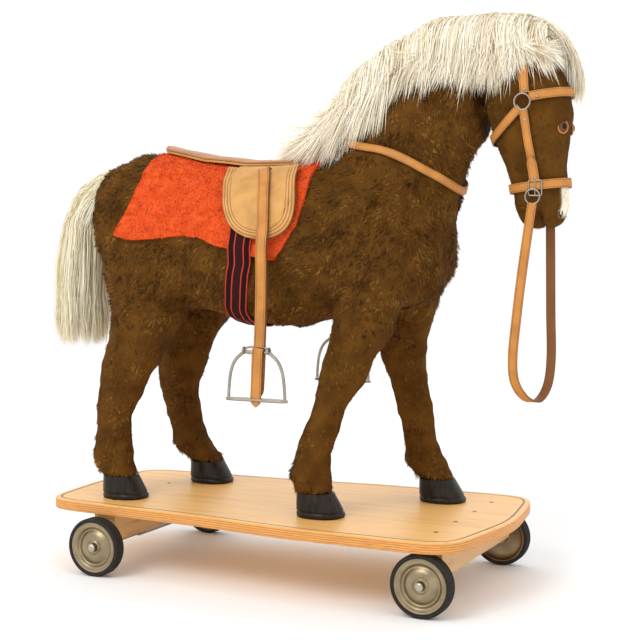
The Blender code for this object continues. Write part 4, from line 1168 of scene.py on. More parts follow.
def blanket_place(body, u, v):
    """Where the blanket lies on the back, the way out there and how far down it is. u runs from 0 at
    its rear edge to 1 at its front, and v from -1 at the right foot to 1 at the left."""
    foot_x, foot_z = np.array(BLANKET_FOOT).T
    x_low = foot_x[0] + (foot_x[-1] - foot_x[0]) * u
    low = math.degrees(math.atan2(np.interp(x_low, foot_x, foot_z) - FLAP_AXIS_Z, BLANKET_RADIUS))
    turn = math.radians(90 + (low - 90) * abs(v) ** 0.9)
    z = FLAP_AXIS_Z + BLANKET_RADIUS * math.sin(turn)
    rear, front = (np.interp(z, *np.array(edge).T) for edge in (BLANKET_REAR, BLANKET_FRONT))
    out = Vector((0, math.copysign(math.cos(turn), v), math.sin(turn)))
    start = Vector((rear + (front - rear) * u, 0, FLAP_AXIS_Z)) + out * 0.4
    return (*body.ray_cast(start, -out)[0], *out, abs(v))


def blanket_pile(cloth, body, dice):
    """Short curly strands on the blanket's outer face."""
    where, out = scatter(cloth, BLANKET_STRANDS, dice)
    near = [body.find_nearest(Vector(p)) for p in where]
    away = np.array([(Vector(p) - hit[0]).length for p, hit in zip(where, near)])
    keep = away > BLANKET_TOP / 2
    where, out = where[keep], out[keep]
    count = len(where)
    flow = unit(dice.normal(0, 1, (count, 3)) + np.array([-0.2, 0.0, -0.9]))
    length = BLANKET_PILE * dice.uniform(0.7, 1.25, count) * (1 + 0.12 * ripple(where, 0.02, dice))
    lift = np.clip(dice.normal(0.55, 0.16, count), 0.15, 0.95)
    paths = strands_on(where, out, flow, length, lift, dice, curl=0.45)
    level = 0.55 + 0.10 * ripple(where, 0.018, dice) + 0.20 * ripple(where, 0.0055, dice)
    shades = pick_shade(count, level, dice, len(BLANKET_SHADES))
    return ribbons("blanket_pile", paths, out, dice.uniform(0.0010, 0.0018, count), shades,
                   hair_shades("orange_pile", BLANKET_SHADES, 0.7), "toy")


def saddle_seat(top_material, under_material):
    """The curved seat: two layers of leather, the upper one a little smaller and with a stitched line."""
    layers = ((0.0, 0.0, 0.50, under_material, ["saddle_seat"]), (0.0030, 0.56, 1.0, top_material, ()))
    for part, (inset, under, over, material, replaced) in enumerate(layers):
        bottoms, tops, creases = seat_layer(inset, under, over, bool(part))
        mesh = mesh_from(f"seat_layer_{part}", bottoms + tops, grid_faces(SEAT_ROWS, SEAT_COLUMNS))
        mark_points(mesh, "crease", [0.35] * len(bottoms) + creases)
        made = add_mesh(f"seat_layer_{part}", mesh, [material], "toy", replaced)
        ease = made.modifiers.new("eased_edges", "BEVEL")
        ease.width = 0.0009
        ease.segments = 2
        ease.angle_limit = math.radians(50)


def seat_layer(inset, under, over, stitched):
    """A layer's lower and upper points, between two shares of the seat's thickness, and its creases."""
    tree = tree_of(NODES["saddle_seat"])
    low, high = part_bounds("saddle_seat")
    bottoms, tops, creases = [], [], []
    for x in steps_between(low[0] + 0.0006 + inset, high[0] - 0.0100 - inset, SEAT_ROWS):
        sink = 0.0080 * np.clip((-0.10 - x) / 0.15, 0, 1) ** 1.5
        half = max(0.004, seat_reach(tree, x, high[1]) - inset)
        for share in steps_between(-1.0, 1.0, SEAT_COLUMNS):
            up = tree.ray_cast(Vector((x, share * half * 0.995, 0.5)), Vector((0, 0, 1)))[0]
            down = tree.ray_cast(Vector((x, share * half * 0.995, 1.0)), Vector((0, 0, -1)))[0]
            thick = min(down.z - up.z, SEAT_THICKNESS)
            for points, level in ((bottoms, under), (tops, over)):
                points.append(Vector((x, share * half, down.z - sink - thick * (1 - level))))
            rim = half - abs(share) * half
            creases.append(1.0 if stitched and abs(rim - SEAT_PIPING) < 0.0009 else 0.0)
    return bottoms, tops, creases


def seat_reach(tree, x, most):
    """Half the seat's width at an x, found by halving."""
    low, high = 0.0, most + 0.001
    for _ in range(14):
        middle = (low + high) / 2
        if tree.ray_cast(Vector((x, middle, 1.0)), Vector((0, 0, -1)))[0]:
            low = middle
        else:
            high = middle
    return low


def flap_ray(x, side, share):
    """A place far outside the flap and the way in, at a share of the way down it."""
    turn = math.radians(FLAP_TURNS[0] + (FLAP_TURNS[1] - FLAP_TURNS[0]) * share)
    out = Vector((0, side * math.cos(turn), math.sin(turn)))
    return Vector((x, 0, FLAP_AXIS_Z)) + out * 0.4, -out


def saddle_flap(side, name, material):
    """A flap: thick leather with three tooled lines along its rim."""
    rows, columns = 120, 150
    tree = tree_of(NODES[f"{name}_saddle_flap"])
    body = tree_of(NODES["torso"])
    inner, outer, creases = [], [], []
    for i in range(rows):
        down = 1 - (1 - i / (rows - 1)) ** 1.6
        half = max(0.0012, FLAP_HALF * math.sqrt(max(0.0, 1 - down ** FLAP_POWER)))
        middle = np.interp(down, (0, 0.25, 0.5, 0.75, 1), FLAP_MIDDLE_X)
        for k in range(columns):
            u = half * (2 * k / (columns - 1) - 1)
            hit, way = on_flap(tree, body, middle + u, side, down)
            fullness = 1 - (u / FLAP_HALF) ** 2 - down ** FLAP_POWER
            slope = math.hypot(2 * u / FLAP_HALF ** 2, FLAP_POWER * down ** (FLAP_POWER - 1) / FLAP_LENGTH)
            rim = max(0.0, fullness / max(slope, 1.0))
            groove = max(math.exp(-((rim - line) / 0.0007) ** 2) for line in FLAP_CREASES)
            outer.append(hit + way * (0.0007 * groove + 0.0009 * math.exp(-rim / 0.0015)))
            inner.append(hit + way * FLAP_THICKNESS)
            creases.append(max(groove, 0.9 * math.exp(-rim / 0.0010)))
    mesh = mesh_from(f"{name}_flap_leather", inner + outer, grid_faces(rows, columns))
    mark_points(mesh, "crease", [0.8] * len(inner) + creases)
    add_mesh(f"{name}_flap_leather", mesh, [material], "toy", [f"{name}_saddle_flap"])
    slot_mouth(side, name, tree, body)


def on_flap(tree, body, x, side, share):
    """The flap's outer face at a share of the way down, and the way in there."""
    start, way = flap_ray(x, side, share)
    hit = tree.ray_cast(start, way)[0] or body.ray_cast(start, way)[0] - way * 0.0195
    return hit, way


def slot_mouth(side, name, tree, body):
    """The slit across the flap that the stirrup strap comes out of: a low black oval of painted shadow."""
    x, share = SLOT
    points = []
    for rise, size in ((-0.001, 1.0), (0.0006, 1.0), (0.0006, 0.3)):
        for k in range(24):
            turn = 2 * math.pi * k / 24
            hit, way = on_flap(tree, body, x + 0.0128 * math.cos(turn) * size, side,
                               share + 0.014 * math.sin(turn) * size)
            points.append(hit - way * rise)
    mesh = mesh_from(f"{name}_flap_slot", points, ring_faces(3, 24, False))
    add_mesh(f"{name}_flap_slot", mesh, [gloss_black("slot_shadow")], "toy")


def girth():
    """The striped webbing band round the belly, over the blanket's foot."""
    body = tree_of(NODES["torso"])
    rows, columns = 120, 13
    inner, outer, across = [], [], []
    for degree in steps_between(24.0, -204.0, rows):
        turn = math.radians(degree)
        out = Vector((0, -math.cos(turn), math.sin(turn)))
        height = GIRTH_AXIS_Z + 0.145 * math.sin(turn)
        middle = np.interp(height, *np.array(GIRTH_MIDDLE).T)
        lift = np.interp(height, (0.535, 0.565), (0.0062, 0.0135))
        for share in steps_between(-0.5, 0.5, columns):
            start = Vector((middle + share * GIRTH_WIDTH, 0, GIRTH_AXIS_Z)) + out * 0.4
            hit = body.ray_cast(start, -out)[0]
            outer.append(hit + out * lift)
            inner.append(hit + out * (lift - GIRTH_THICKNESS))
            across.append(share + 0.5)
    mesh = mesh_from("girth_band", inner + outer, grid_faces(rows, columns))
    mark_points(mesh, "across", across + across)
    add_mesh("girth_band", mesh, [webbing("girth_webbing")], "toy", ["girth"])


def stirrup(side, name, material, metal):
    """The doubled leather over the flap, its pointed free ends and the iron."""
    stirrup_strap(side, name, material)
    x = STIRRUP_X + 0.0045
    y = side * STIRRUP_Y
    for part, shift, low in (("outer", 0.0046, 0.303), ("inner", -0.0046, 0.318)):
        points = [(x + 0.001, y + side * shift * 0.55, STIRRUP_BAR_Z + 0.0045),
                  (x, y + side * shift, STIRRUP_BAR_Z - 0.004),
                  (x - 0.002, y + side * shift, 0.350), (x - 0.004, y + side * shift, low)]
        path = curve_through(points, 8)
        facing = [Vector((0, side, 0.05))] * len(path)
        replaced = [f"{name}_strap_ends"] if part == "outer" else ()
        strap(f"{name}_strap_end_{part}", path, facing, STIRRUP_STRAP, material, f"{name}_iron", replaced,
              tips=(0.0, 0.015))
    stirrup_iron(name, metal, y)


def stirrup_strap(side, name, material):
    """The two layers of the strap, out of the flap's slot, over the flap and down to the iron."""
    flap, torso = tree_of(NODES[f"{name}_saddle_flap"]), tree_of(NODES["torso"])
    hang = [(0.0130, 0.560), (0.0132, 0.520), (0.0118, 0.450), (0.0098, STIRRUP_BAR_Z + 0.006)]
    for part, lift in (("outer", 0.0015), ("inner", -0.0015)):
        hit, way = on_flap(flap, torso, SLOT[0], side, SLOT[1])
        points, facing = [hit + way * 0.0006], [-way]
        for x, share in STRAP_OVER_FLAP:
            hit, way = on_flap(flap, torso, x, side, share)
            points.append(hit - way * (0.0038 + lift))
            facing.append(-way)
        for x, z in hang:
            points.append(Vector((x, side * (STIRRUP_Y + lift), z)))
            facing.append(Vector((0, side, 0.05)))
        path = relax(curve_through(points, 8), 2)
        made = strap(f"{name}_stirrup_{part}", path, curve_through(facing, 8), STIRRUP_STRAP, material, None,
                     [f"{name}_stirrup_leather"] if part == "outer" else ())
        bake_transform(made)


def stirrup_iron(name, metal, y):
    """The iron: a slotted head on two eyes, arched legs and a flat tread."""
    body = f"{name}_iron"
    half = [(0.0190, 0.3915), (0.0290, 0.3868), (0.0400, 0.3760), (0.0468, 0.3600), (0.0498, 0.3420),
            (0.0510, 0.3280), (0.0515, 0.3175)]
    arch = [(-x, z) for x, z in reversed(half)] + half
    path = curve_through([(STIRRUP_X + x, y, z) for x, z in arch], 6)
    tube(f"{name}_iron_arch", path, 0.0026, metal, body, [f"{name}_stirrup_iron"], sides=14)
    tread(name, metal, y)
    for end, x in (("rear", -IRON_EYE_X), ("front", IRON_EYE_X)):
        centre = Vector((STIRRUP_X + x, y, STIRRUP_BAR_Z))
        ring = circle(centre, Vector((0, 1, 0)), Vector((0, 0, 1)), 0.0042, 20)
        tube(f"{name}_iron_eye_{end}", ring, 0.0020, metal, body, closed=True, sides=8)
    corners = [(-0.0160, 0.0050), (0.0160, 0.0050), (0.0170, -0.0035), (-0.0170, -0.0035)]
    path = curve_through([(STIRRUP_X + x, y, STIRRUP_BAR_Z + z) for x, z in corners], 6, closed=True)
    tube(f"{name}_iron_head", path, 0.0019, metal, body, closed=True, sides=10)


def tread(name, metal, y):
    """The flat foot plate, with rounded ends and ridges across it."""
    bottom, side, top = 0.3120, 0.3135, 0.3165
    points = []
    steps = steps_between(-TREAD_HALF, TREAD_HALF, 60)
    for x in steps:
        end = abs(x) / TREAD_HALF
        half = TREAD_HALF_WIDTH * math.sqrt(max(0.02, 1 - end ** 8))
        ridge = 0.0007 * (0.5 + 0.5 * math.cos(2 * math.pi * x / TREAD_RIDGES)) if end < 0.75 else 0.0
        section = [(-half, side), (-half * 0.9, top + ridge), (half * 0.9, top + ridge), (half, side),
                   (half * 0.8, bottom), (-half * 0.8, bottom)]
        points += [Vector((STIRRUP_X + x, y + across, z)) for across, z in section]
    mesh = mesh_from(f"{name}_iron_tread", points, ring_faces(len(steps), 6, False))
    add_mesh(f"{name}_iron_tread", mesh, [metal], f"{name}_iron")


# ---------------------------------------------------------------- bridle

# Places on the head's side, as (x, z) or (x, z, lift off the skin)
CHEEK_RING = (0.4105, 0.7847, 0.0068)
CHEEK_RING_RADIUS = 0.0125
CHEEK_STRAP = [
    (0.4120, 0.7740, 0.0062), (0.4135, 0.764, 0.0050), (0.4160, 0.745, 0.0042), (0.4190, 0.722, 0.0042),
    (0.4215, 0.705, 0.0042), (0.4240, 0.6850, 0.0042), (0.4262, 0.6680, 0.0040),
]
CHEEK_TAB = [(0.4222, 0.7020, 0.0068), (0.4240, 0.690, 0.0068), (0.4256, 0.677, 0.0066),
             (0.4270, 0.6640, 0.0064)]
CHEEK_RIVETS = [(0.4133, 0.8035, 0.0062), (0.4146, 0.7575, 0.0060), (0.4284, 0.6690, 0.0085),
                (0.4318, 0.7925, 0.0068)]
BUCKLE = (0.4279, 0.6535, 0.0075)
BUCKLE_HALF = (0.0104, 0.0118)  # half its width and half its height
BUCKLE_CORNER = 0.0030
CROWN = [(0.4130, 0.7985, 0.0045), (0.4105, 0.822, 0.0045), (0.4080, 0.845, 0.0045)]
BIT = (0.4248, 0.048, 0.640)  # the right and left ring's middle, but for the sign of y
BIT_RADIUS = 0.0115


def bridle(skin_tree, tan, metal):
    """The headstall's straps, their rings, buckles and rivets, the reins and the breast strap."""
    crown(skin_tree, tan)
    for side, name in SIDES:
        cheek(side, name, skin_tree, tan, metal)
    head_bands(skin_tree, tan)
    throat_lash(skin_tree, tan)
    bit_rings(metal)
    reins(tan)
    breast_strap(skin_tree, tan)


def on_skin(tree, place_at, side):
    """A place on the skin's side, given as (x, z, lift), and the way out there."""
    x, z, lift = place_at
    hit, normal, _, _ = tree.ray_cast(Vector((x, side * 0.3, z)), Vector((0, -side, 0)))
    out = Vector((normal.x * 0.4, normal.y, normal.z * 0.4)).normalized()
    return hit + out * lift, out


def run_of(pairs, steps):
    """A smooth path, and the ways out along it, through pairs of a place and its way out."""
    return [curve_through([pair[k] for pair in pairs], steps) for k in (0, 1)]


def mirrored(half, shared=1):
    """A list of places from the left side, and the same on the right in reverse. The last shared
    ones lie on the middle and aren't repeated."""
    other = reversed(half[:len(half) - shared])
    return half + [Vector((place_at[0], -place_at[1], place_at[2])) for place_at in other]


def upright(out):
    """The directions along the skin, level and up, where the way out is out."""
    across = Vector((0, 0, 1)).cross(out).normalized()
    return across, out.cross(across).normalized()


def crown(skin_tree, tan):
    """The strap from ring to ring over the poll."""
    half = [on_skin(skin_tree, place_at, 1) for place_at in CROWN]
    half += [(Vector((0.4058, 0.0375, 0.8640)), Vector((0, 0.8, 0.6))),
             (Vector((0.4050, 0.0205, 0.8860)), Vector((0, 0.4, 1))),
             (Vector((0.4045, 0.0, 0.8925)), Vector((0, 0, 1)))]
    path, facing = (curve_through(mirrored([pair[k] for pair in half]), 6) for k in (0, 1))
    strap("crown_strap", path, [way.normalized() for way in facing], BRIDLE_WIDTH, tan, "toy", ["headstall"])


def cheek(side, name, skin_tree, tan, metal):
    """One side of the headstall: ring, cheek strap with a pointed tab, buckle and rivets."""
    centre, out = on_skin(skin_tree, CHEEK_RING, side)
    ring = circle(centre, *upright(out), CHEEK_RING_RADIUS, 40)
    tube(f"{name}_cheek_ring", ring, 0.0014, metal, "toy", closed=True)
    path, facing = run_of([on_skin(skin_tree, place_at, side) for place_at in CHEEK_STRAP], 8)
    strap(f"{name}_cheek_strap", path, facing, BRIDLE_WIDTH * 0.90, tan, "toy")
    path, facing = run_of([on_skin(skin_tree, place_at, side) for place_at in CHEEK_TAB], 6)
    strap(f"{name}_cheek_tab", path, facing, BRIDLE_WIDTH * 1.08, tan, "toy", tips=(0.013, 0.0))
    for k, place_at in enumerate(CHEEK_RIVETS):
        head, normal = on_skin(skin_tree, place_at, side)
        dome(f"{name}_cheek_rivet_{k}", head, normal, 0.0026, 0.0014, metal, "toy")
    square_buckle(side, name, skin_tree, metal)


def square_buckle(side, name, skin_tree, metal):
    """The square buckle that joins the cheek strap, the noseband and the bit."""
    centre, out = on_skin(skin_tree, BUCKLE, side)
    across, up = upright(out)
    half_wide, half_high = BUCKLE_HALF
    ring = []
    for sx, sz, start in ((1, 1, 0), (-1, 1, 90), (-1, -1, 180), (1, -1, 270)):
        corner = (centre + across * (sx * (half_wide - BUCKLE_CORNER))
                  + up * (sz * (half_high - BUCKLE_CORNER)))
        for degree in steps_between(start, start + 90, 6):
            turn = math.radians(degree)
            ring.append(corner + (across * math.cos(turn) + up * math.sin(turn)) * BUCKLE_CORNER)
    tube(f"{name}_buckle", ring, 0.0013, metal, "toy", closed=True, sides=10)
    bar = [centre + up * half_high, centre - up * half_high]
    tube(f"{name}_buckle_bar", bar, 0.0011, metal, "toy", sides=10)


def head_bands(skin_tree, tan):
    """The browband from ring to ring across the forehead, and the closed noseband."""
    path, facing = wrap(skin_tree, (0.4150, 0.0, 0.7920), (0.985, 0, 0.17), (0, 1, 0),
                        steps_between(-84, 84, 70), 0.0045, 4)
    strap("brow_strap", path, facing, BRIDLE_WIDTH, tan, "toy", ["browband"])
    path, facing = wrap(skin_tree, (0.4250, 0.0, 0.6570), (0.99, 0, 0.11), (0, 1, 0),
                        [360 * k / 90 for k in range(90)], 0.0048, 4)
    strap("nose_strap", path, facing, BRIDLE_WIDTH, tan, "toy", ["noseband"], closed=True)


def hug(skin_tree, points, lift, rounds, closed=False):
    """A path near the points that lies on the skin, lifted off it, and the way out along it."""
    path, facing = [], []
    for point in curve_through(points, 8, closed):
        near, normal, _, _ = skin_tree.find_nearest(point)
        path.append(near + normal * lift)
        facing.append(normal)
    return relax(path, rounds, closed), relax(facing, rounds + 4, closed)


def throat_lash(skin_tree, tan):
    """The strap from ring to ring under the throat."""
    half = [(0.4070, 0.0600, 0.7765), (0.3955, 0.0573, 0.7652), (0.3817, 0.0540, 0.7521),
            (0.3655, 0.0440, 0.7378), (0.3500, 0.0240, 0.7285), (0.3440, 0.0, 0.7250)]
    path, facing = hug(skin_tree, mirrored(half), 0.0050, 5)
    strap("throat_strap", path, facing, 0.0140, tan, "toy", ["throat_lash"])


def bit_rings(metal):
    """The bit's two rings and its bar."""
    x, y, z = BIT
    for side, name in SIDES:
        ring = circle(Vector((x, side * y, z)), Vector((0, 0, 1)), Vector((1, 0, 0)), BIT_RADIUS, 36)
        tube(f"{name}_bit_ring", ring, 0.0014, metal, "toy", ["bit"] if side < 0 else (), closed=True)
    bar = [Vector((x, end, z + BIT_RADIUS)) for end in (-y, y)]
    tube("bit_bar", bar, 0.0020, metal, "toy")


def reins(tan):
    """One long strap in a loop from ring to ring."""
    x, y, _ = BIT
    points = [(x, -y, 0.630), (x - 0.004, -y - 0.001, 0.600), (x - 0.015, -y - 0.0015, 0.520),
              (x - 0.023, -y - 0.002, 0.450), (x - 0.029, -y, 0.390), (x - 0.028, -y + 0.008, 0.350),
              (x - 0.017, -0.020, 0.323), (x - 0.004, 0.006, 0.317), (x + 0.003, y - 0.012, 0.340),
              (x + 0.005, y - 0.001, 0.385), (x + 0.003, y + 0.001, 0.450), (x + 0.002, y + 0.001, 0.520),
              (x + 0.001, y, 0.600), (x, y, 0.630)]
    path = curve_through(points, 8)
    facing = [heading.cross(Vector((1, 0.12, 0))).normalized() for heading in headings(path)]
    strap("rein_strap", path, facing, 0.0150, tan, "rein_loop", ["reins"])


def breast_strap(skin_tree, tan):
    """The strap round the root of the neck and across the chest."""
    half = [(0.1000, 0.0200, 0.7480), (0.1126, 0.0460, 0.7304), (0.1460, 0.0684, 0.7219),
            (0.1770, 0.0752, 0.7160), (0.2070, 0.0763, 0.7073), (0.2312, 0.0726, 0.6959),
            (0.2533, 0.0640, 0.6832), (0.2700, 0.0510, 0.6730), (0.2847, 0.0330, 0.6610),
            (0.2928, 0.0120, 0.6520)]
    path, facing = hug(skin_tree, mirrored(half, shared=0), 0.0052, 6, closed=True)
    strap("chest_strap", path, facing, 0.0135, tan, "toy", ["breast_strap"], closed=True)


# ---------------------------------------------------------------- hooves and carriage

HOOF_LEVELS = 18
HOOF_DRAWN = {0: -0.0015, 4: -0.0014}  # by level: the sole's edge and the welt's groove are drawn in
HOOF_SQUARE = 2 / 2.3  # the power that squares the hoof's outline a little
WOOD, PLY, GROOVE = range(3)  # the deck's materials, by the strip of its outline
SCREWS_Y = (-0.132, -0.045, 0.045, 0.132)  # across each beam

# The disc's section: (radius, distance out from the toy's middle), round its face and back
DISC = [
    (0.0056, 0.1990), (0.0105, 0.1996), (0.0115, 0.1988), (0.0125, 0.1978), (0.0150, 0.1984),
    (0.0185, 0.1988), (0.0215, 0.1981), (0.0245, 0.1966), (0.0270, 0.1948), (0.0285, 0.1934),
    (0.0300, 0.1930), (0.0315, 0.1936), (0.0328, 0.1955), (0.0342, 0.1976), (0.0358, 0.1988),
    (0.0376, 0.1990), (0.0390, 0.1984), (0.0402, 0.1984), (0.0414, 0.1994), (0.0426, 0.1994),
    (0.0433, 0.1982), (0.0433, 0.1802), (0.0410, 0.1800), (0.0400, 0.1830), (0.0380, 0.1862),
    (0.0330, 0.1884), (0.0250, 0.1892), (0.0150, 0.1912), (0.0120, 0.1905), (0.0112, 0.1792),
    (0.0056, 0.1792),
]
RIBS = 5
RIB_PITCH = 0.0037


def hooves():
    """Hard black hooves: upright at the sole, drawn in to the fetlock, with a welt above the sole."""
    material = horn("hoof_horn")
    count = 48
    for leg in LEG_NAMES:
        points = read_points(NODES[f"{leg}_hoof"].data)
        low, high = points[:, 2].min(), points[:, 2].max()
        sole = part_box(points[points[:, 2] < low + 0.001])
        top = part_box(points[points[:, 2] > high - 0.001])
        rings = []
        for level, share in enumerate(steps_between(0.0, 1.0, HOOF_LEVELS)):
            draw = max(0.0, (share - 0.13) / 0.87)
            middle = sole[0] * (1 - draw) + top[0] * draw
            half = sole[1] * (1 - draw ** 1.15) + top[1] * draw ** 1.15 + HOOF_DRAWN.get(level, 0.0)
            rings += hoof_ring(middle, half, low + (high - low) * share, count)
        mesh = mesh_from(f"{leg}_hoof_shell", rings, ring_faces(HOOF_LEVELS, count, False))
        add_mesh(f"{leg}_hoof_shell", mesh, [material], "toy", [f"{leg}_hoof"])


def hoof_ring(middle, half, height, count):
    """Points round a slightly squared oval."""
    ring = []
    for k in range(count):
        turn = 2 * math.pi * k / count
        shares = (math.copysign(abs(part) ** HOOF_SQUARE, part) for part in (math.cos(turn), math.sin(turn)))
        x, y = (centre + reach * share for centre, reach, share in zip(middle, half, shares))
        ring.append(Vector((x, y, height)))
    return ring


def part_box(points):
    """The middle and the half size of the box round some points."""
    low, high = points.min(axis=0), points.max(axis=0)
    return (high + low) / 2, (high - low) / 2


def offset_outline(outline, inset):
    """An outline moved inwards. Its points run anticlockwise."""
    moved, count = [], len(outline)
    for i in range(count):
        along = (outline[(i + 1) % count] - outline[i - 1]).normalized()
        moved.append(outline[i] + Vector((-along.y, along.x)) * inset)
    return moved


def deck_outline(count):
    """The board's outline, from the outermost CAD points in each direction."""
    rim = {}
    for x, y, _ in read_points(NODES["deck_board"].data):
        turn, reach = math.atan2(y, x), math.hypot(x, y)
        key = round(turn, 2)
        if reach > rim.get(key, (0, 0))[1]:
            rim[key] = (turn, reach)
    corners = [Vector((math.cos(turn), math.sin(turn))) * reach for turn, reach in sorted(rim.values())]
    return evened(corners, count)


def deck():
    """The plywood board: eased edges, a fine groove round its top painted dark as shade, and its plies
    showing at the side.
    """
    low, high = (corner[2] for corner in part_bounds("deck_board"))
    outline = deck_outline(300)
    sections = [
        (0.0120, low, WOOD), (0.0012, low, PLY), (0.0, low + 0.0012, PLY), (0.0, low + 0.0045, PLY),
        (0.0, high - 0.0045, PLY), (0.0, high - 0.0020, PLY), (0.0004, high - 0.0009, WOOD),
        (0.0012, high - 0.0002, WOOD), (0.0022, high, WOOD), (0.0090, high, GROOVE),
        (0.0098, high - 0.0011, GROOVE), (0.0118, high - 0.0011, GROOVE), (0.0126, high, WOOD),
        (0.0170, high, WOOD),
    ]
    points = [Vector((p.x, p.y, z)) for inset, z, _ in sections for p in offset_outline(outline, inset)]
    mesh = mesh_from("deck_wood", points, ring_faces(len(sections), len(outline), False))
    wood = timber("deck_timber", DECK_COLOUR, (0.78, 0.405, 0.115))
    # The groove's wood is the deck's colour at a third of its brightness: painted shade in the groove.
    groove = timber("deck_groove_shade", shade_of(DECK_COLOUR, 0.30), shade_of(DECK_COLOUR, 0.18))
    plies = ply_edge("deck_plies", low, high)
    add_mesh("deck_wood", mesh, [wood, plies, groove], "toy", ["deck_board"])
    for face in mesh.polygons:
        strip = face.index // len(outline)
        face.material_index = sections[strip][2] if strip < len(sections) - 1 else WOOD
    screws(high)


def evened(points, count):
    """A closed outline with evenly spaced points, its corners eased."""
    closed = points + [points[0]]
    reach = [0.0]
    for a, b in zip(closed, closed[1:]):
        reach.append(reach[-1] + (b - a).length)
    xs = np.interp(np.linspace(0, reach[-1], count, endpoint=False), reach, [p.x for p in closed])
    ys = np.interp(np.linspace(0, reach[-1], count, endpoint=False), reach, [p.y for p in closed])
    return relax([Vector((x, y)) for x, y in zip(xs, ys)], 14, closed=True)


def screws(top):
    """Countersunk screws that hold the beams: a brass head with a cross in it, drawn as dark bars of painted
    shade.
    """
    brass = brushed_metal("screw_brass", (0.30, 0.21, 0.10), 0.40)
    # The cross's black bars are painted shade in the screw's cross slot.
    dark = gloss_black("screw_cross_shade")
    for end in ("rear", "front"):
        x = sum(corner[0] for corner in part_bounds(f"{end}_axle_beam")) / 2
        for k, y in enumerate(SCREWS_Y):
            centre = Vector((x, y, top))
            dome(f"{end}_screw_{k}", centre, Vector((0, 0, 1)), 0.0040, 0.0004, brass, "toy", sides=20)
            for part, way in (("a", Vector((1, 0, 0))), ("b", Vector((0, 1, 0)))):
                bar = [centre + way * reach + Vector((0, 0, 0.00035)) for reach in (-0.0024, 0.0024)]
                tube(f"{end}_screw_{k}_{part}", bar, 0.00045, dark, "toy", sides=6)


def tyre_section():
    """The tyre's section: flat sides, a rounded shoulder and ribs across its tread."""
    section = [(0.0436, 0.1776), (0.0436, 0.2003), (0.0462, 0.2008), (0.0482, 0.2003), (0.0493, 0.1990)]
    for rib in range(RIBS):
        y = 0.1968 - RIB_PITCH * rib
        section += [(0.0499, y + 0.0008), (0.0499, y - 0.0008), (0.0492, y - 0.0013), (0.0492, y - 0.0024)]
    return section + [(0.0490, 0.1786), (0.0478, 0.1777)]


def wheels():
    """Pressed discs with a domed middle and rolled rings, and ribbed tyres."""
    metal = brushed_metal("disc_metal", (0.36, 0.285, 0.175), 0.34)
    tread_rubber = rubber("tyre_rubber", (0.016, 0.012, 0.009))
    for end in ("rear", "front"):
        for side, name in SIDES:
            wheel = f"{end}_{name}"
            low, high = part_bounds(f"{wheel}_tyre")
            centre = [(a + b) / 2 for a, b in zip(low, high)]
            for part, section, material, node_name in (("disc_face", DISC, metal, "wheel_disc"),
                                                       ("tread", tyre_section(), tread_rubber, "tyre")):
                turned(f"{wheel}_{part}", section, centre, side, material, f"{wheel}_wheel",
                       [f"{wheel}_{node_name}"])


def carried_over():
    """Better materials for the CAD pieces that keep their shape."""
    beam = timber("beam_timber", (0.62, 0.36, 0.13), (0.42, 0.21, 0.065), (16.0, 1.2, 16.0))
    inner = timber("inner_board", (0.60, 0.38, 0.17), (0.44, 0.25, 0.10))
    rod = brushed_metal("rod_steel", (0.45, 0.44, 0.42), 0.35)
    cap = brushed_metal("cap_metal", (0.58, 0.52, 0.40), 0.26)
    chosen = {"body_board": inner, "neck_rod": rod}
    chosen |= {f"{leg}_leg_rod": rod for leg in LEG_NAMES}
    for end in ("rear", "front"):
        chosen |= {f"{end}_axle_beam": beam, f"{end}_axle": rod, f"{end}_axle_keeper": rod}
        chosen |= {f"{end}_{name}_hub_cap": cap for _, name in SIDES}
    for name, material in chosen.items():
        for slot in NODES[name].material_slots:
            slot.material = material


# ---------------------------------------------------------------- studio

TOY_MIDDLE = Vector((0.0, 0.0, 0.45))
FLOOR_HALF = 30.0


def camera():
    """The camera, level but for its elevation."""
    lens = bpy.data.cameras.new("camera")
    lens.lens = CAMERA_LENS
    lens.sensor_width = 36.0
    made = new_object("camera", lens)
    made.location = CAMERA_PLACE
    made.rotation_euler = (math.radians(90 - CAMERA_ELEVATION), 0.0, math.radians(CAMERA_AZIMUTH))
    bpy.context.scene.camera = made


def area_light(name, place_at, size, power):
    """A soft light that points at the middle of the toy."""
    lamp = bpy.data.lights.new(name, "AREA")
    lamp.size = size
    lamp.energy = power
    made = new_object(name, lamp)
    made.location = place_at
    made.rotation_euler = (TOY_MIDDLE - Vector(place_at)).to_track_quat("-Z", "Y").to_euler()


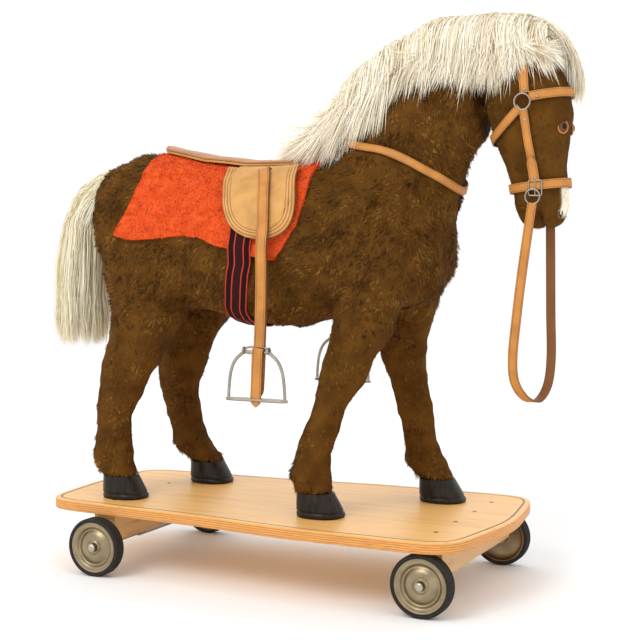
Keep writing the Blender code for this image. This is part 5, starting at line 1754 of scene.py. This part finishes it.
def studio():
    """A pale floor, a near white room and soft lights from above and both sides."""
    corners = [(x * FLOOR_HALF, y * FLOOR_HALF, 0) for x, y in ((-1, -1), (1, -1), (1, 1), (-1, 1))]
    floor_mesh = mesh_from("floor", corners, [(0, 1, 2, 3)])
    pale, tree, shader = surface("floor_paint", (0.95, 0.95, 0.95), 1.0)
    shader.inputs["Specular IOR Level"].default_value = 0.0
    paint(tree, shader, speckle(tree, 0.8), [(0.3, (0.945, 0.945, 0.945)), (0.7, (0.955, 0.955, 0.955))])
    floor_mesh.materials.append(pale)
    new_object("floor", floor_mesh)

    world = bpy.data.worlds.new("studio")
    world.use_nodes = True
    sky = world.node_tree.nodes["Background"]
    sky.inputs["Color"].default_value = (1.0, 1.0, 1.0, 1.0)
    sky.inputs["Strength"].default_value = 1.06
    bpy.context.scene.world = world
    area_light("key", (-0.6, -2.6, 2.6), 1.4, 36.0)
    area_light("fill", (2.8, -1.6, 1.4), 2.0, 6.0)
    area_light("back", (-1.2, 2.6, 2.2), 2.0, 8.0)
    bpy.context.scene.view_settings.view_transform = "Standard"


# ---------------------------------------------------------------- assembly


def tack_tree():
    """A search tree over the straps and the saddle, which no pile grows through."""
    names = ["crown_strap", "brow_strap", "nose_strap", "chest_strap", "throat_strap", "blanket_cloth",
             "girth_band", "seat_layer_0"]
    for _, name in SIDES:
        names += [f"{name}_{part}" for part in ("cheek_strap", "cheek_tab", "cheek_ring", "buckle")]
    return tree_of(*(bpy.data.objects[name] for name in names))


def build():
    """The whole scene, in order."""
    camera()
    studio()
    carried_over()
    skin = body_skin()
    skin_tree = tree_of(skin)
    tan = leather("bridle_leather", STRAP_COLOUR)
    flap_tan = leather("saddle_leather", FLAP_COLOUR)
    iron = brushed_metal("iron_metal", (0.42, 0.38, 0.31), 0.32)

    bridle(skin_tree, tan, iron)
    saddle_seat(leather("seat_leather", SEAT_COLOUR), flap_tan)
    girth()
    for side, name in SIDES:
        saddle_flap(side, name, flap_tan)
        stirrup(side, name, tan, iron)
    saddle_blanket()
    eyes()
    nostrils(skin_tree)
    hooves()
    deck()
    wheels()

    body_pile(skin, tack_tree())
    mane_core()
    mane_strands()
    forelock_strands()
    tail_core()
    tail_strands()


build()
